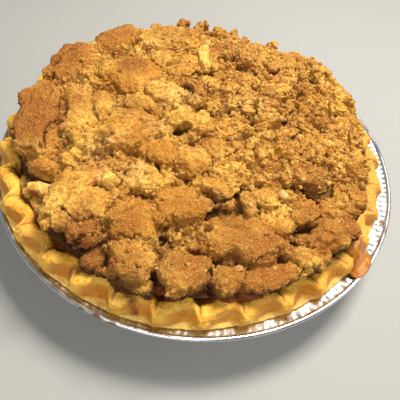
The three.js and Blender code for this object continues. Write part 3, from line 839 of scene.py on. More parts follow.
def pastry_case():
    angles = around(FLUTES * STEPS_PER_FLUTE)
    in_tin = FOIL + GAP + TIN_FLAT
    foot_z = FOIL + GAP
    below = [ring(angles, radius, foot_z) for radius in (0, wall_radius(foot_z, in_tin) - CASE_FOOT_IN)]
    below += [ring(angles, wall_radius(z, in_tin), z) for z in (16, FLANGE_TOP)]
    rim = through(rim_rows(angles), ROW_STEPS)
    floor_edge = wall_radius(CASE_FLOOR, CASE_WALL + FOIL) - CASE_FLOOR_IN
    inside = [ring(angles, radius, CASE_FLOOR) for radius in (floor_edge, 0)]
    rows = np.concatenate([below, rim, inside])

    along = np.full(len(rows), -1.0)
    along[len(below):len(below) + len(rim)] = np.arange(len(rim)) / ROW_STEPS
    along = np.repeat(along, len(angles))
    angle = np.tile(angles, len(rows))
    push = pressed(angle, 0.95)
    side = smoothstep(along, 1.7, 2.1) * smoothstep(along, 4.7, 4.1)
    side *= 1 - sum(share * near_to(angle, at, width) for at, width, share in PALE_HOLLOWS)
    piece = mesh_object("pastry", *turned_grid(rows))
    # The steep facets and the lower outer side take browning and painted shade.
    steep = np.maximum(smoothstep(push, 0.08, 0.4), 0.5 * smoothstep(along, 3.6, 2.2))
    store(piece, hollow=side * steep,
          crest=smoothstep(along, 4.2, 4.8) * smoothstep(along, 6.9, 6.2),
          inner=smoothstep(along, 6.4, 7.2) * smoothstep(push, 0.95, 0.5),
          ledge=smoothstep(along, 0.4, 1.0) * smoothstep(along, 2.1, 1.8) * smoothstep(push, 0.1, 0.4),
          stain=spots(points_of(piece), STAINS_AND_SHADOW, 1, 0.4) * smoothstep(along, 1.5, 2.5),
          pinch=pinched(angle) * smoothstep(along, 4.4, 5.6), tan=near_to(angle, *TAN_AT))
    return tidied(piece)


PASTRY = pastry_case()
print("pastry:", triangles(PASTRY), "triangles")

# %% [markdown]
# ### Golden pastry
#
# Short pastry bakes from pale cream through gold to brown, and the thin high edges and the buttery
# hollows brown first. The facets also take painted shade, as do the inner side and the cracks between
# the flutes, and the foot below the facets takes painted light. So the colour follows the stored numbers
# and not only noise. Fine light specks, which are painted highlights, and a low satin shine finish it.


# %% The pastry's material
def pastry_material():
    paint = Paint("golden_pastry")
    stored = paint.stored
    patches, fine = paint.noise(60, 3), paint.noise(500, 4, 0.6)
    baked = paint.noise(110, 4).spread(0.25, 0.7, 0.55, 1.0)
    colour = paint.colours(
        patches.spread(0.3, 0.7), (246, 194, 74), (232, 162, 44),
        # painted light: the foot below the facets is paler where it faces up
        (stored("ledge") * 0.6, (246, 212, 124)),
        (stored("tan") * 0.75, (206, 146, 52)),
        # browned facets, with painted shade where they face down and out
        (stored("hollow") * baked, (196, 120, 24)),
        # painted shade on the inner side, where it turns down to the filling
        (stored("inner") * patches.spread(0.35, 0.6) * 0.75, (190, 112, 34)),
        (stored("crest") * paint.noise(38, 2).spread(0.45, 0.7) * 0.45, (208, 146, 66)),
        # painted shade in the cracks between the flutes
        (stored("pinch") * 0.8, (120, 62, 16)),
        # syrup stains, and one painted shadow in a flute
        (stored("stain") * baked, (112, 54, 22)),
        (fine.spread(0.56, 0.7) * 0.4, (252, 222, 140)),  # painted highlights
        (paint.noise(300, 4, 0.65).spread(0.48, 0.32) * 0.65, (196, 118, 34)),  # freckles
    )
    return paint.finish(paint.noise(260, 4, 0.6) + fine * 0.5, 0.0018, 1.0, base_color=colour,
                        roughness=patches.spread(0.3, 0.7, 0.5, 0.62), specular_ior_level=0.4)


applied(use_tree(PASTRY, RELIEF, wave_size=0.012, wave_height=0.0006, lump_size=0.005,
                 lump_height=0.0006, grain_size=0.0022, grain_height=0.00022, seed=3.0,
                 material=pastry_material()))
print("pastry baked:", [m.name for m in PASTRY.data.materials])

# %% [markdown]
# ## The apple filling and the slices that show
#
# The filling fills the case up to a domed, lumpy top. Most of it is hidden, but it shows in the dark
# gap along the rim, wet and reddish brown. A few pieces of apple come up through the crumble: a long
# pale slice at the back, a slice with a browned skin edge in a bay at the front left, and slivers at
# the front. Each is a ball pressed square, bent along its length and placed.

# %% The filling
FILLING_EDGE_Z = 38.5
FILLING_TOP_Z = 59.5
FILLING_RADIUS = 104
FILLING_ROUND = 240
FILLING_RINGS = np.linspace(100, 4, 26)
FILLING_LUMPS = 0.7  # height, which fades towards the middle


def filling_top(radius, angle):
    lumps = np.sin(9 * angle) * np.cos(radius / 7) + np.sin(14 * angle + math.radians(60))
    dome = (FILLING_TOP_Z - FILLING_EDGE_Z) * (1 - (radius / FILLING_RADIUS) ** 2)
    return FILLING_EDGE_Z + dome + FILLING_LUMPS * lumps * smoothstep(radius, 20, 90)


def apple_filling():
    angles = around(FILLING_ROUND)
    floor_z = CASE_FLOOR + GAP
    foot = wall_radius(CASE_FLOOR, CASE_WALL + FOIL) - CASE_FLOOR_IN - GAP
    rows = [ring(angles, radius, floor_z) for radius in (0, foot)]
    rows.append(ring(angles, RIM_INNER_RADIUS - 4 * GAP, rim_crest(angles) - RIM_DEPTH - 1, 1))
    rows += [ring(angles, r, filling_top(r, angles), max(0.0, (r - 90) / 14)) for r in FILLING_RINGS]
    rows.append(ring(angles, 0, FILLING_TOP_Z))
    return tidied(mesh_object("filling", *turned_grid(rows)))


def filling_material():
    paint = Paint("wet_filling")
    fruit = paint.noise(90, 3)
    colour = paint.colours(fruit.spread(0.4, 0.62), (106, 44, 18), (168, 92, 44),
                           (paint.noise(240, 3).spread(0.58, 0.72), (206, 140, 78)))
    return paint.finish(paint.noise(320, 3), 0.0008, 0.7, base_color=colour,
                        roughness=fruit.spread(0.3, 0.7, 0.16, 0.4),
                        subsurface_weight=0.15, subsurface_scale=0.004)


FILLING = apple_filling()
applied(use_tree(FILLING, RELIEF, lump_size=0.010, lump_height=0.0022, grain_size=0.003,
                 grain_height=0.0002, seed=5.0, material=filling_material()))
print("filling:", triangles(FILLING), "triangles")

# %% [markdown]
# ### Pieces of apple
#
# Cooked apple is translucent and pale yellow, and dark where cinnamon and syrup cling to it, as on the
# two pieces under the front clumps. The same form serves all five pieces. `edge` is stored on one side
# of each, for the material to brown: strongly on the slice whose skin shows, and faintly on the rest.

# %% The pieces of apple
APPLE_PIECES = {  # sizes in millimetres and turns in degrees; bend is how far the ends hang back
    "apple_slice_back": {"at": (-6, 46.5, 67), "half": (14.5, 4, 4.5), "bend": 2, "turn": 99,
                         "tilt": 6},
    "apple_slice_left": {"at": (-76, -60.5, 48.5), "half": (9.5, 4, 4.5), "bend": 0.8, "turn": -8,
                         "roll": 25, "skin": 1.0},
    "apple_slice_front": {"at": (31, -101, 42.5), "half": (11, 2.6, 3), "bend": 0.8, "turn": 16},
    "apple_chunk_front": {"at": (-4, -103, 44), "half": (8, 3, 4), "bend": 0.5, "turn": 0},
    "apple_chunk_left": {"at": (-41, -58.5, 62.5), "half": (3.8, 4.4, 4), "bend": 0, "turn": 60},
}
APPLE_SQUARENESS = 0.6
FAINT_SKIN = 0.35


def unit_ball(steps, squareness=1.0):
    """Points and faces of a ball made of triangles; under 1 its sides are a little flattened."""
    bm = bmesh.new()
    bmesh.ops.create_icosphere(bm, subdivisions=steps, radius=1.0)
    points = np.array([v.co for v in bm.verts])
    faces = np.array([[v.index for v in f.verts] for f in bm.faces])
    bm.free()
    return np.sign(points) * np.abs(points) ** squareness, faces


APPLE_BALL = unit_ball(5)


def apple_piece(name, at, half, bend, turn, tilt=0, roll=0, skin=FAINT_SKIN):
    x, y, z = APPLE_BALL[0].T
    square = lambda v: np.sign(v) * np.abs(v) ** APPLE_SQUARENESS
    points = np.column_stack([x * half[0], square(y) * half[1] - bend * x * x, square(z) * half[2]])
    spin = Euler([math.radians(a) for a in (roll, tilt, turn)], "XYZ").to_matrix()
    piece = mesh_object("cooked_" + name, points @ np.array(spin).T + at, APPLE_BALL[1])
    store(piece, edge=skin * smoothstep(-y, -0.1, 0.35))
    return piece


def apple_material(name, flesh, shade, skin):
    paint = Paint(name)
    fibre = paint.noise(360, 5, 0.65)
    colour = paint.colours(fibre.spread(0.35, 0.65), flesh, shade,
                           (paint.stored("edge") * paint.noise(90, 2).spread(0.3, 0.6), skin))
    return paint.finish(paint.noise(520, 4, 0.7), 0.0012, 0.9, base_color=colour,
                        roughness=fibre.spread(0.3, 0.7, 0.4, 0.6), specular_ior_level=0.25,
                        subsurface_weight=0.05, subsurface_scale=0.002,
                        subsurface_radius=(1.0, 0.6, 0.25))


APPLE = apple_material("cooked_apple", (238, 200, 104), (204, 150, 62), (146, 72, 18))
DARK_APPLE = apple_material("dark_apple", (158, 84, 36), (116, 54, 22), (84, 36, 16))
APPLES = {}
for name, sizes in APPLE_PIECES.items():
    APPLES[name] = applied(use_tree(
        apple_piece(name, **sizes), RELIEF, wave_size=0.007, wave_height=0.0012, lump_size=0.0034,
        lump_height=0.0010, seed=9.0, material=DARK_APPLE if name.endswith("front") else APPLE))
print("apple:", {name: triangles(piece) for name, piece in APPLES.items()})

# %% [markdown]
# ### Crumble
#
# The crumble is flour, butter and sugar, baked until its high edges are brown. A warm gold and a deeper
# one are mixed by noise, a pale butter colour lies where it stayed soft, and a toasted brown where it
# stood up; the same brown is also painted shade over the left side, the front and the back of the heap.
# Small pits between grains are darker as painted shade, and the deep gaps between clumps are darkest,
# because fruit juice and painted shade meet there. Cracks are darkened with painted shade too. Light
# specks are painted highlights on the grains.


# %% The crumble's material
def crumble_material():
    paint = Paint("baked_crumble")
    stored = paint.stored
    patches = paint.noise(55, 4, 0.6)
    grains = paint.noise(520, 2, 0.75)
    sand = paint.noise(1100, 2, 0.7)
    tone = patches.spread(0.32, 0.68) + stored("tone")
    pale_patches = paint.noise(160, 3).spread(0.3, 0.6)
    toast_patches = paint.noise(130, 5, 0.7).spread(0.32, 0.62, 0.55, 1)
    colour = paint.colours(
        tone.maths("MINIMUM", 1.0).maths("MAXIMUM", 0.0), (229, 182, 84), (184, 126, 44),
        (stored("pale") * pale_patches, (232, 194, 124)),
        # toasted brown, and painted shade on the left, front and back
        (stored("toast") * toast_patches, (128, 70, 26)),
        (stored("pebble").spread(0.55, 0.2) * 0.55, (160, 92, 30)),  # pits: painted shade
        (sand.spread(0.52, 0.68) * 0.42, (238, 194, 106)),  # painted highlights on the grains
        (grains.spread(0.47, 0.33) * 0.6, (150, 82, 24)),  # dark specks
        # painted shade, with fruit juice, in the deep gaps between clumps
        (stored("depth").spread(0.8, 6.5) * 0.92, (66, 30, 10)),
        # painted shade in the cracks
        (stored("crack").maths("MAXIMUM", stored("split")), (70, 32, 12)),
    )
    return paint.finish(sand * 0.8 + grains, 0.0012, 1.0, base_color=colour,
                        roughness=grains.spread(0.4, 0.75, 0.9, 0.7), specular_ior_level=0.25)


CRUMBLE = crumble_material()
print("material:", CRUMBLE.name)

# %% [markdown]
# ## The heap of crumble
#
# The heap is a low dome, higher at the back left. On it lie clumps as large as a walnut, and between
# them a rough bed. The list of clumps is the same as in the solid: place, half length, half width, turn
# and how far the top stands over the dome. The outer row leans over the pastry.

# %% The heap's sizes and its list of clumps
HEAP_TOP_Z = 70.5
HEAP_FALL = 13
HEAP_TILT = 5
HEAP_HIGH_AT = math.radians(150)
HEAP_RADIUS = 102
HEAP_OVERHANG = 4.5
OVERHANG_AT = math.radians(250)
EDGE_WAVES = ((8, 1.3, 0), (13, 1.1, 0.87))  # how many times round, height, and where it starts
EDGE_BAYS = ((219, 7, 13), (350, 20, 3.5))  # azimuth, half width in degrees, depth
HEAP_EDGE_FALL = ((-12, 69), (-6, 63), (-2, 58), (0, 52), (0, 47.5))  # out from the edge, and height
CLUMP_RISE = 8
CLUMP_KEPT_BELOW = 0.5  # how much of a clump's lower half is kept, as it is sunk in the bed
BED_DEPTH = 5.5

CLUMPS = (
    # left, from the back forwards
    (-66, 65, 17, 13, 40, 0.5), (-88, 32, 20, 14, 75, 1), (-90, -20, 30, 15, -72, 1.5),
    (-68, -16, 29, 11, -70, 1), (-57, -10, 17, 8, -65, 0.5), (-46, 22, 22, 17, -40, 1.5),
    (-53, -71, 24, 16, 92, 2.5), (-55, -32, 10, 7, 10, 0), (-77, -52, 8, 5, 0, -1),
    # middle
    (-38, -24, 18, 16, -20, 2.5), (-8, -13, 17, 9, -12, 2), (-2, -38, 11, 11, 0, 1),
    (-20, -37, 14, 8, -10, 0.5), (-22, -54, 14, 9, -10, 0.5), (-25, -77, 14, 13, 0, 2),
    (-4, -66, 15, 12, 20, 2), (-38, -4, 10, 8, 0, 0), (-26, 9, 14, 10, -20, 0.5),
    (9, -30, 10, 9, 0, 0.5), (19, -42, 10, 9, 0, 0), (8, -54, 11, 8, 10, 0), (13, -13, 12, 8, 20, 0),
    # back
    (-30, 68, 23, 15, 15, 1.5), (14, 60, 22, 17, -8, 2.5), (52, 66, 19, 15, -35, 1),
    (80, 42, 17, 14, -60, 1), (-22, 40, 17, 13, 0, 0.5), (42, 36, 15, 11, 20, 0),
    # right and front
    (27, -77, 20, 14, 5, 2), (60, -33, 13, 9, -20, 2), (78, -48, 15, 10, 35, 1),
    (86, -18, 14, 12, 80, 1), (71, -66, 20, 12, 37, 3), (38, -53, 9, 7, 0, 0.5),
    (60, -56, 11, 9, 40, 0.5), (45, -66, 11, 7, 10, 0.5), (70, -6, 12, 9, 30, 0),
    (86, 14, 13, 10, 80, 0.5),
)

EDGE_CLUMPS = (  # azimuth in degrees, distance, middle's height, half sizes along, across and up
    (247, 104, 47, 7, 6, 6), (257, 99, 52, 13, 10, 9),
    (258, 107, 49, 13, 6, 5), (271, 99, 52, 13, 10, 9), (284, 100, 49, 10, 7, 7),
    (295, 102, 49, 19, 7, 6), (306, 101, 51, 8, 7, 7), (316, 98, 52, 15, 9, 8),
    (334, 95, 52, 12, 8, 8), (350, 90.5, 53, 14, 8, 7), (7, 91, 53, 13, 7.5, 6.5),
    (26, 95, 54, 12, 7, 7.5), (42, 94, 56, 14, 8, 8),
    (160, 97, 56, 15, 7, 9), (186, 95, 55, 26, 8, 9),
)


def crumble_top(x, y):
    """Height of the tops of the crumble over a point."""
    towards_high = x * math.cos(HEAP_HIGH_AT) + y * math.sin(HEAP_HIGH_AT)
    fall = HEAP_FALL * (x * x + y * y) / HEAP_RADIUS**2
    return HEAP_TOP_Z - fall + HEAP_TILT * towards_high / HEAP_RADIUS


def heap_edge(angle):
    """How far the bed reaches: it leans forwards, and the apple shows in a bay at the left."""
    wander = sum(height * math.sin(times * angle + start) for times, height, start in EDGE_WAVES)
    bays = sum(depth * near_to(angle, at, width) for at, width, depth in EDGE_BAYS)
    return HEAP_RADIUS + HEAP_OVERHANG * math.cos(angle - OVERHANG_AT) + wander - bays


def clump_rows():
    """Each clump: place, half sizes, turn, and how much of its lower half is kept."""
    rows = []
    for x, y, along, across, turn, rise in CLUMPS:
        at = (x, y, crumble_top(x, y) + rise - CLUMP_RISE)
        rows.append((at, (along, across, CLUMP_RISE), math.radians(turn), CLUMP_KEPT_BELOW))
    for azimuth, distance, z, along, across, up in EDGE_CLUMPS:
        angle = math.radians(azimuth)
        at = (distance * math.cos(angle), distance * math.sin(angle), z)
        rows.append((at, (along, across, up), angle + math.pi / 2, 1.0))
    return rows


CLUMP_ROWS = clump_rows()
print("clumps:", len(CLUMPS), "and", len(EDGE_CLUMPS), "at the edge")

# %% [markdown]
# ### Clumps
#
# A clump could be sculpted by hand, but fifty of them would take days. Here each one starts as a ball,
# pressed a little square, made ragged, and fitted to its sizes. Smaller lumps fill the bed between the
# clumps: they follow a sunflower's spiral, which spreads points evenly without rows, and a seeded draw
# varies them. On the right and at the back, where the crumble is loose, they are small and lie higher.

# %% Make balls and place them
CLUMP_SQUARENESS = 0.8
FINE_BALL = unit_ball(5, CLUMP_SQUARENESS)
LUMP_BALL = unit_ball(4, CLUMP_SQUARENESS)
RAGGED = ((2, 0.08), (3, 0.10), (5, 0.07), (8, 0.04))  # waves around a clump's outline and their share
FLAT_TOP = 0.75  # 1 leaves a clump's top round, and less makes it flatter with steeper sides
LUMP_SEED = 7
LUMP_COUNT = 330
LUMP_REACH = 99  # radius of the spiral
LUMP_KEPT_BELOW = 0.6
LUMP_VARIETY = (0.75, 1.25)  # of its size, along each axis
LUMP_FLATNESS = (1, 1, 0.8)
LOOSE_LUMPS = (3.0, 5.5, -1.5, 3.5)  # smallest and largest size, lowest and highest over the bed
FIRM_LUMPS = (3.5, 7, -4, 0.5)
LOOSE_LINE = (0.4, -10)  # loose where x + 0.4 y is over -10
KEPT_OPEN = ((-77, -62, 12), (-41, -59, 6), (-8, 56, 5), (-5, 41, 5))  # x, y, radius, for the apple
GOLDEN_ANGLE = math.pi * (3 - math.sqrt(5))


def placed_ball(ball, at, half, turn, below):
    """A ragged ball fitted to its half sizes; below says how much of the lower half is kept."""
    bearing = np.arctan2(ball[0][:, 1], ball[0][:, 0])
    ragged = sum(share * np.sin(times * bearing + times * at[0] + at[1]) for times, share in RAGGED)
    x, y, z = (ball[0] * half).T
    x, y = x * (1 + ragged), y * (1 + ragged)
    cos, sin = math.cos(turn), math.sin(turn)
    z = np.where(z < 0, z * below, half[2] * (np.maximum(z, 0) / half[2]) ** FLAT_TOP)
    return np.column_stack([x * cos - y * sin, x * sin + y * cos, z]) + at, ball[1]


def lump_rows():
    """The smaller lumps of the bed, in the same form as the clumps."""
    draw = np.random.default_rng(LUMP_SEED)
    rows = []
    for i in range(LUMP_COUNT):
        radius = LUMP_REACH * math.sqrt((i + 0.5) / LUMP_COUNT)
        angle = GOLDEN_ANGLE * i + draw.uniform(-0.05, 0.05)
        x, y = radius * math.cos(angle), radius * math.sin(angle)
        loose = x + LOOSE_LINE[0] * y > LOOSE_LINE[1]
        smallest, largest, lowest, highest = LOOSE_LUMPS if loose else FIRM_LUMPS
        size = draw.uniform(smallest, largest)
        z = crumble_top(x, y) - BED_DEPTH + draw.uniform(lowest, highest)
        half = size * draw.uniform(*LUMP_VARIETY, 3) * LUMP_FLATNESS
        turn = draw.uniform(0, 3)
        if all(math.hypot(x - to_x, y - to_y) > reach for to_x, to_y, reach in KEPT_OPEN):
            rows.append(((x, y, z), half, turn, LUMP_KEPT_BELOW))
    return rows


BALLS = [(row[0], placed_ball(FINE_BALL, *row)) for row in CLUMP_ROWS]
BALLS += [(row[0], placed_ball(LUMP_BALL, *row)) for row in lump_rows()]
print("balls:", len(BALLS))

# %% [markdown]
# ### Four quarters
#
# The whole heap would have too many faces for one piece, so it is made in four quarters that overlap a
# little. Each quarter is a slice of the bed with its own clumps and lumps. They are pushed about by the
# wide waves, then a Remesh melts everything in the quarter into one skin, and the tree runs again with
# the pebbles, the grain and the cracks. The noise is read at each point's own place, so it runs on
# across the quarters without a seam.

# %% Make the bed of one quarter
QUARTERS = {"back": (45, 135), "left": (135, 225), "front": (225, 315), "right": (-45, 45)}
QUARTER_OVERLAP = 2  # degrees at each side
PAST_THE_MIDDLE = -8
BED_STEPS = 30
OVER_THE_RIM = ((0.5, 0.8), (-2, -4))  # from the pastry's inner edge and crest, outwards and up


def heap_section(angle):
    """The bed cut at an angle, over the top and back underneath: radius, height, share of the rim's
    shift. Where the height is None it follows the dome."""
    edge = heap_edge(angle)
    over = [(r, None, 0) for r in np.linspace(PAST_THE_MIDDLE, edge - 14, 14)]
    fall = [(edge + outwards, z, 0) for outwards, z in HEAP_EDGE_FALL]
    rim = [(RIM_INNER_RADIUS + outwards, rim_crest(angle) + up, 1) for outwards, up in OVER_THE_RIM]
    under = [(r, filling_top(r, angle) + GAP, 0) for r in (97, 84, 62, 34, PAST_THE_MIDDLE)]
    return over + fall + rim + under


def bed(start, end):
    """Points and faces of a slice of the bed, closed at both sides."""
    points = []
    for angle in np.radians(np.linspace(start - QUARTER_OVERLAP, end + QUARTER_OVERLAP, BED_STEPS)):
        for r, z, shift in heap_section(angle):
            x = r * math.cos(angle) + shift * RIM_SHIFT[0]
            y = r * math.sin(angle) + shift * RIM_SHIFT[1]
            height = crumble_top(x, y) - BED_DEPTH
            points.append((x, y, height if z is None else min(z, height)))
    section = len(points) // BED_STEPS
    faces = [tuple(range(section)), tuple(reversed(range(len(points) - section, len(points))))]
    for step in range(BED_STEPS - 1):
        for i in range(section):
            a, b = step * section + i, step * section + (i + 1) % section
            faces.append((a, a + section, b + section, b))
    return np.array(points), faces


def quarter_shapes(start, end):
    """The bed of a quarter with the balls whose middles lie in it, as one set of points and faces."""
    shapes = [bed(start, end)]
    shapes += [ball for at, ball in BALLS
               if (math.degrees(math.atan2(at[1], at[0])) - start) % 360 < end - start]
    starts = np.cumsum([0] + [len(points) for points, _ in shapes])
    faces = [tuple(i + first for i in face)
             for (_, group), first in zip(shapes, starts) for face in group]
    return np.vstack([points for points, _ in shapes]), faces


print("faces of the front:", len(quarter_shapes(*QUARTERS["front"])[1]))

# %% [markdown]
# ### Where the skin tears
#
# A remesh rounds every crease, but baked crumble is torn: so between two clumps, where a point is as
# near to the one as to the other, the skin is pushed in again. The same step presses the deep holes and
# the long cracks of this pie. All of it is reckoned from above, in a clump's own measure: its `reach` is
# 0 in its middle and 1 at its edge.

# %% List the holes and the cracks
TONE_SEED = 21
TONE_RANGE = (-0.35, 0.45)
TEAR_DEPTH = 2.8
TEAR_WIDTH = 0.10  # in reach, as the next three are
ON_CLUMP = (1.25, 1.05)  # from off a clump to on it
GAP_FROM = (0.35, 0.6)  # no gap in the middle of a clump
FOOT_AT, FOOT_WIDTH, FOOT_ALONE = 1.12, 0.12, (1.1, 1.35)
FOOT_DEPTH = 0.9  # of the groove round a clump that stands alone
CRACK_DEPTH = 2.4
CRACK_WIDTH = (0.9, 0.2)  # from its edge to its full depth
CRACK_RAGGED = 6
HOLE_EDGE = (1.2, 0.55)  # reach of a hole's edge, and of its full depth
LOOSE_RIGHTWARDS, LOOSE_BACKWARDS = (-25, 30), (-58, -38)
CRACK_LINES = (  # from point to point over the skin, as the photo shows them
    ((-61, -79), (-57, -80), (-53, -83), (-49, -85), (-47, -83), (-44, -81), (-40, -81)),
    ((-80, -23), (-83, -30), (-81, -38), (-79, -44)),
)
HOLES = (  # x, y, half length, half width, turn in degrees, depth
    (-10.5, -22, 5.5, 2.4, 30, 8), (60, -65, 5, 1.6, 20, 5), (-47, -10, 4, 1.8, -20, 5),
    (-77, -15, 9, 1.8, -70, 4), (-49.5, -34.5, 5, 1.7, 10, 6), (9, -58.5, 9, 1.6, -27, 5),
    (10, 50, 8, 2, 5, 6), (-47, -61, 3.4, 2, -10, 6),
    (-17.5, -49, 7, 1.3, -50, 5), (-18, -9, 3, 1.6, 0, 5), (-43, 0, 3, 1.6, 30, 5),
    (62, -44, 7, 1.8, -25, 6), (-24, 36, 5, 2, 40, 5), (-60, 4, 4, 1.8, 60, 5), (2, 2, 5, 2, 30, 5),
    (28, -4, 5, 2, -10, 4), (46, 4, 4, 1.6, 20, 4), (30, 30, 4, 1.6, 0, 4), (58, 22, 5, 1.8, 10, 4),
    (10, -76, 3, 2.5, 60, 6), (48, -84, 4, 2, 20, 5), (-10, -84, 3, 2, 80, 5), (76, -30, 6, 2, -20, 4),
)

# Middle, half sizes and turn of each clump, one row each.
CLUMP_PLAN = np.array([(at[0], at[1], half[0], half[1], turn) for at, half, turn, _ in CLUMP_ROWS])
CLUMP_TONES = np.random.default_rng(TONE_SEED).uniform(*TONE_RANGE, len(CLUMP_PLAN))
print("holes:", len(HOLES), "cracks:", len(CRACK_LINES))

# %% [markdown]
# Each of the functions below takes all the points of a piece at once, as numpy arrays, because a loop
# over half a million points in Python would take minutes.


# %% Measure from above
def beside_cracks(points):
    """How far each point lies from the nearest crack line, seen from above."""
    nearest = np.full(len(points), np.inf)
    for line in CRACK_LINES:
        for start, end in zip(np.array(line[:-1], float), np.array(line[1:], float)):
            way, there = end - start, points[:, :2] - start
            share = np.clip(there @ way / np.sum(way**2), 0, 1)
            nearest = np.minimum(nearest, np.hypot(*(there - share[:, None] * way).T))
    return nearest


def reach_of(points, rows):
    """The reach of each point from each row's middle, one column for each row."""
    x, y, along, across, turn = rows.T
    dx, dy = points[:, :1] - x, points[:, 1:2] - y
    lengthwise = (dx * np.cos(turn) + dy * np.sin(turn)) / along
    return np.hypot(lengthwise, (dy * np.cos(turn) - dx * np.sin(turn)) / across)


def loose_at(points):
    """1 to the right and back, where the crumble is loose, and 0 where it baked into clumps."""
    x, y = points[:, 0], points[:, 1]
    return smoothstep(x + 0.35 * y, *LOOSE_RIGHTWARDS) * smoothstep(y, *LOOSE_BACKWARDS)


def nearest_clumps(points):
    """The reach of the nearest and the second clump, the nearest one's number, and the wobble."""
    x, y = points[:, 0], points[:, 1]
    wobble = 0.06 * np.sin(x * 0.9 + 1.7 * np.sin(y * 0.7))
    wobble += 0.05 * np.sin(y * 1.3 + 2.1 * np.sin(x * 0.8))
    own_share = np.sin(np.arange(len(CLUMP_PLAN)) * 2.4)  # so that no two clumps wobble alike
    reach = reach_of(points, CLUMP_PLAN) + wobble[:, None] * own_share
    order = np.argsort(reach, axis=1)[:, :2]
    nearest, second = np.take_along_axis(reach, order, axis=1).T
    return nearest, second, order[:, 0], wobble


def hole_depth(points, wobble):
    """How deep the deepest hole is at each point."""
    depth = np.zeros(len(points))
    for *plan, turn, deep in HOLES:
        reach = reach_of(points, np.array([[*plan, math.radians(turn)]]))[:, 0]
        depth = np.maximum(depth, deep * smoothstep(reach + wobble * 2, *HOLE_EDGE))
    return depth


print("reach of the first clump's middle:", round(float(nearest_clumps(CLUMP_PLAN[:1])[0][0]), 2))

# %% [markdown]
# ### Melt a quarter into one skin, and tear it
#
# The voxel size sets the finest form that the skin can hold. At 0.66 mm it is about as fine as a grain
# of sugar, which the grain layer then adds. `calm` keeps the middles of the firm clumps smooth. Each
# clump also gets a `tone` of its own, and `split` marks the long cracks.

# %% Make the four quarters
VOXEL = 0.66
CALM = 0.6
LESS_CALM = 0.35  # where the crumble is loose
FACING_UP = (-0.2, 0.3)  # slopes of the skin between which the tearing starts


def calmed(piece):
    """Stores how smooth each place stays: the middles of the clumps that aren't in the loose part."""
    points = points_of(piece)
    nearest = nearest_clumps(points)[0]
    store(piece, calm=smoothstep(nearest, 1.0, 0.8) * (CALM - LESS_CALM * loose_at(points)))
    return piece


def torn(piece):
    """Pushes the skin in between the clumps, in the holes and along the cracks, and stores tone."""
    points = points_of(piece)
    normals = read(piece.data.vertices, "normal", 3)
    nearest, second, clump, wobble = nearest_clumps(points)
    on_clump = smoothstep(nearest, *ON_CLUMP)
    gap = smoothstep(second - nearest, TEAR_WIDTH, 0.0) * on_clump * smoothstep(nearest, *GAP_FROM)
    foot = smoothstep(np.abs(nearest - FOOT_AT), FOOT_WIDTH, 0.0) * smoothstep(second, *FOOT_ALONE)
    split = smoothstep(beside_cracks(points + CRACK_RAGGED * wobble[:, None]), *CRACK_WIDTH)
    depths = [TEAR_DEPTH * gap, FOOT_DEPTH * foot, hole_depth(points, wobble), CRACK_DEPTH * split]
    push = np.max(depths, axis=0) * smoothstep(normals[:, 2], *FACING_UP)
    direction = normals * 0.5 + np.array([0, 0, 0.5])  # half along the normal, half straight up
    move_points(piece, points - direction * push[:, None])
    store(piece, tone=CLUMP_TONES[clump] * on_clump, split=split)
    return piece


def quarter(name, start, end):
    piece = calmed(mesh_object(name, *quarter_shapes(start, end)))
    use_tree(piece, RELIEF, wave_size=0.012, wave_height=0.0027, lump_size=0.0065, lump_height=0.0016,
             seed=1.0)
    remesh = piece.modifiers.new("melt", "REMESH")
    remesh.mode = "VOXEL"
    remesh.voxel_size = VOXEL * MM
    remesh.use_smooth_shade = True
    use_tree(calmed(torn(applied(piece))), RELIEF, lump_size=0.0042, lump_height=0.0014,
             pebble_size=0.0023, pebble_height=0.0012, grain_size=0.0012, grain_height=0.0004,
             crack_size=0.030, crack_width=0.0012, crack_depth=0.002, seed=2.0, material=CRUMBLE)
    return applied(piece)


CRUMBLES = {name: quarter("crumble_" + name, *span) for name, span in QUARTERS.items()}
print("crumble:", {name: triangles(piece) for name, piece in CRUMBLES.items()})

# %% [markdown]
# ### Where it is deep, toasted with painted shade, or pale
#
# Three more numbers are stored on the crumble. `depth` says how far a point lies under the mean height
# of its surroundings: the gaps between clumps come out deep, whatever the dome does, and the material
# darkens them with painted shade. To find it, the tops are gathered in a map of one-millimetre squares,
# which is then blurred. `toast` marks the clumps that stood up and browned, and also darkens the left
# side, the front and the back of the heap as painted shade; `pale` marks those that stayed soft and
# light. Both are lists of places, as the pie in the photo has them, with noise to break their edges.

# %% Store depth, toast with painted shade, and pale
MAP_HALF = 120
BLUR = 5
TOAST_AND_SHADE_SHARE = 1.3  # of the listed strength
RAISED_TOAST = 0.3  # for what stands over its surroundings

# Toasted clumps, and places darkened as painted shade on the left, at the front and at the back.
TOASTED_AND_SHADED = (  # x, y, radius, strength
    (-57, 40, 13, 0.8), (-48, 26, 10, 0.7), (-47, -90, 14, 0.8), (-42, -99, 14, 0.8), (12, 60, 21, 0.7),
    (60, -35, 13, 0.8), (78, -28, 10, 0.8), (86, -60, 12, 0.8), (-24, -103, 13, 0.6), (-70, 70, 17, 0.6),
    (26, -76, 14, 0.55), (30, -60, 9, 0.4), (-100, -14, 18, 0.8), (60, 42, 10, 0.4), (34, 26, 8, 0.4),
    (74, 6, 9, 0.4), (-6, 12, 11, 0.35), (-70, -8, 16, 0.45), (-16, 88, 15, 0.45), (-94, 36, 20, 0.7),
    (-92, -24, 22, 0.75), (-88, 8, 16, 0.5), (6, -98, 22, 0.6), (36, -88, 20, 0.65), (-28, -82, 10, 0.5),
    (4, -66, 14, 0.3), (66, -66, 16, 0.6), (90, -30, 14, 0.5), (-40, -10, 9, 0.4), (-30, 72, 16, 0.5),
    (54, 66, 16, 0.4), (-88, 56, 12, 0.6), (-46, -78, 9, 0.35), (48, -76, 10, 0.5), (-4, -28, 9, 0.3),
)
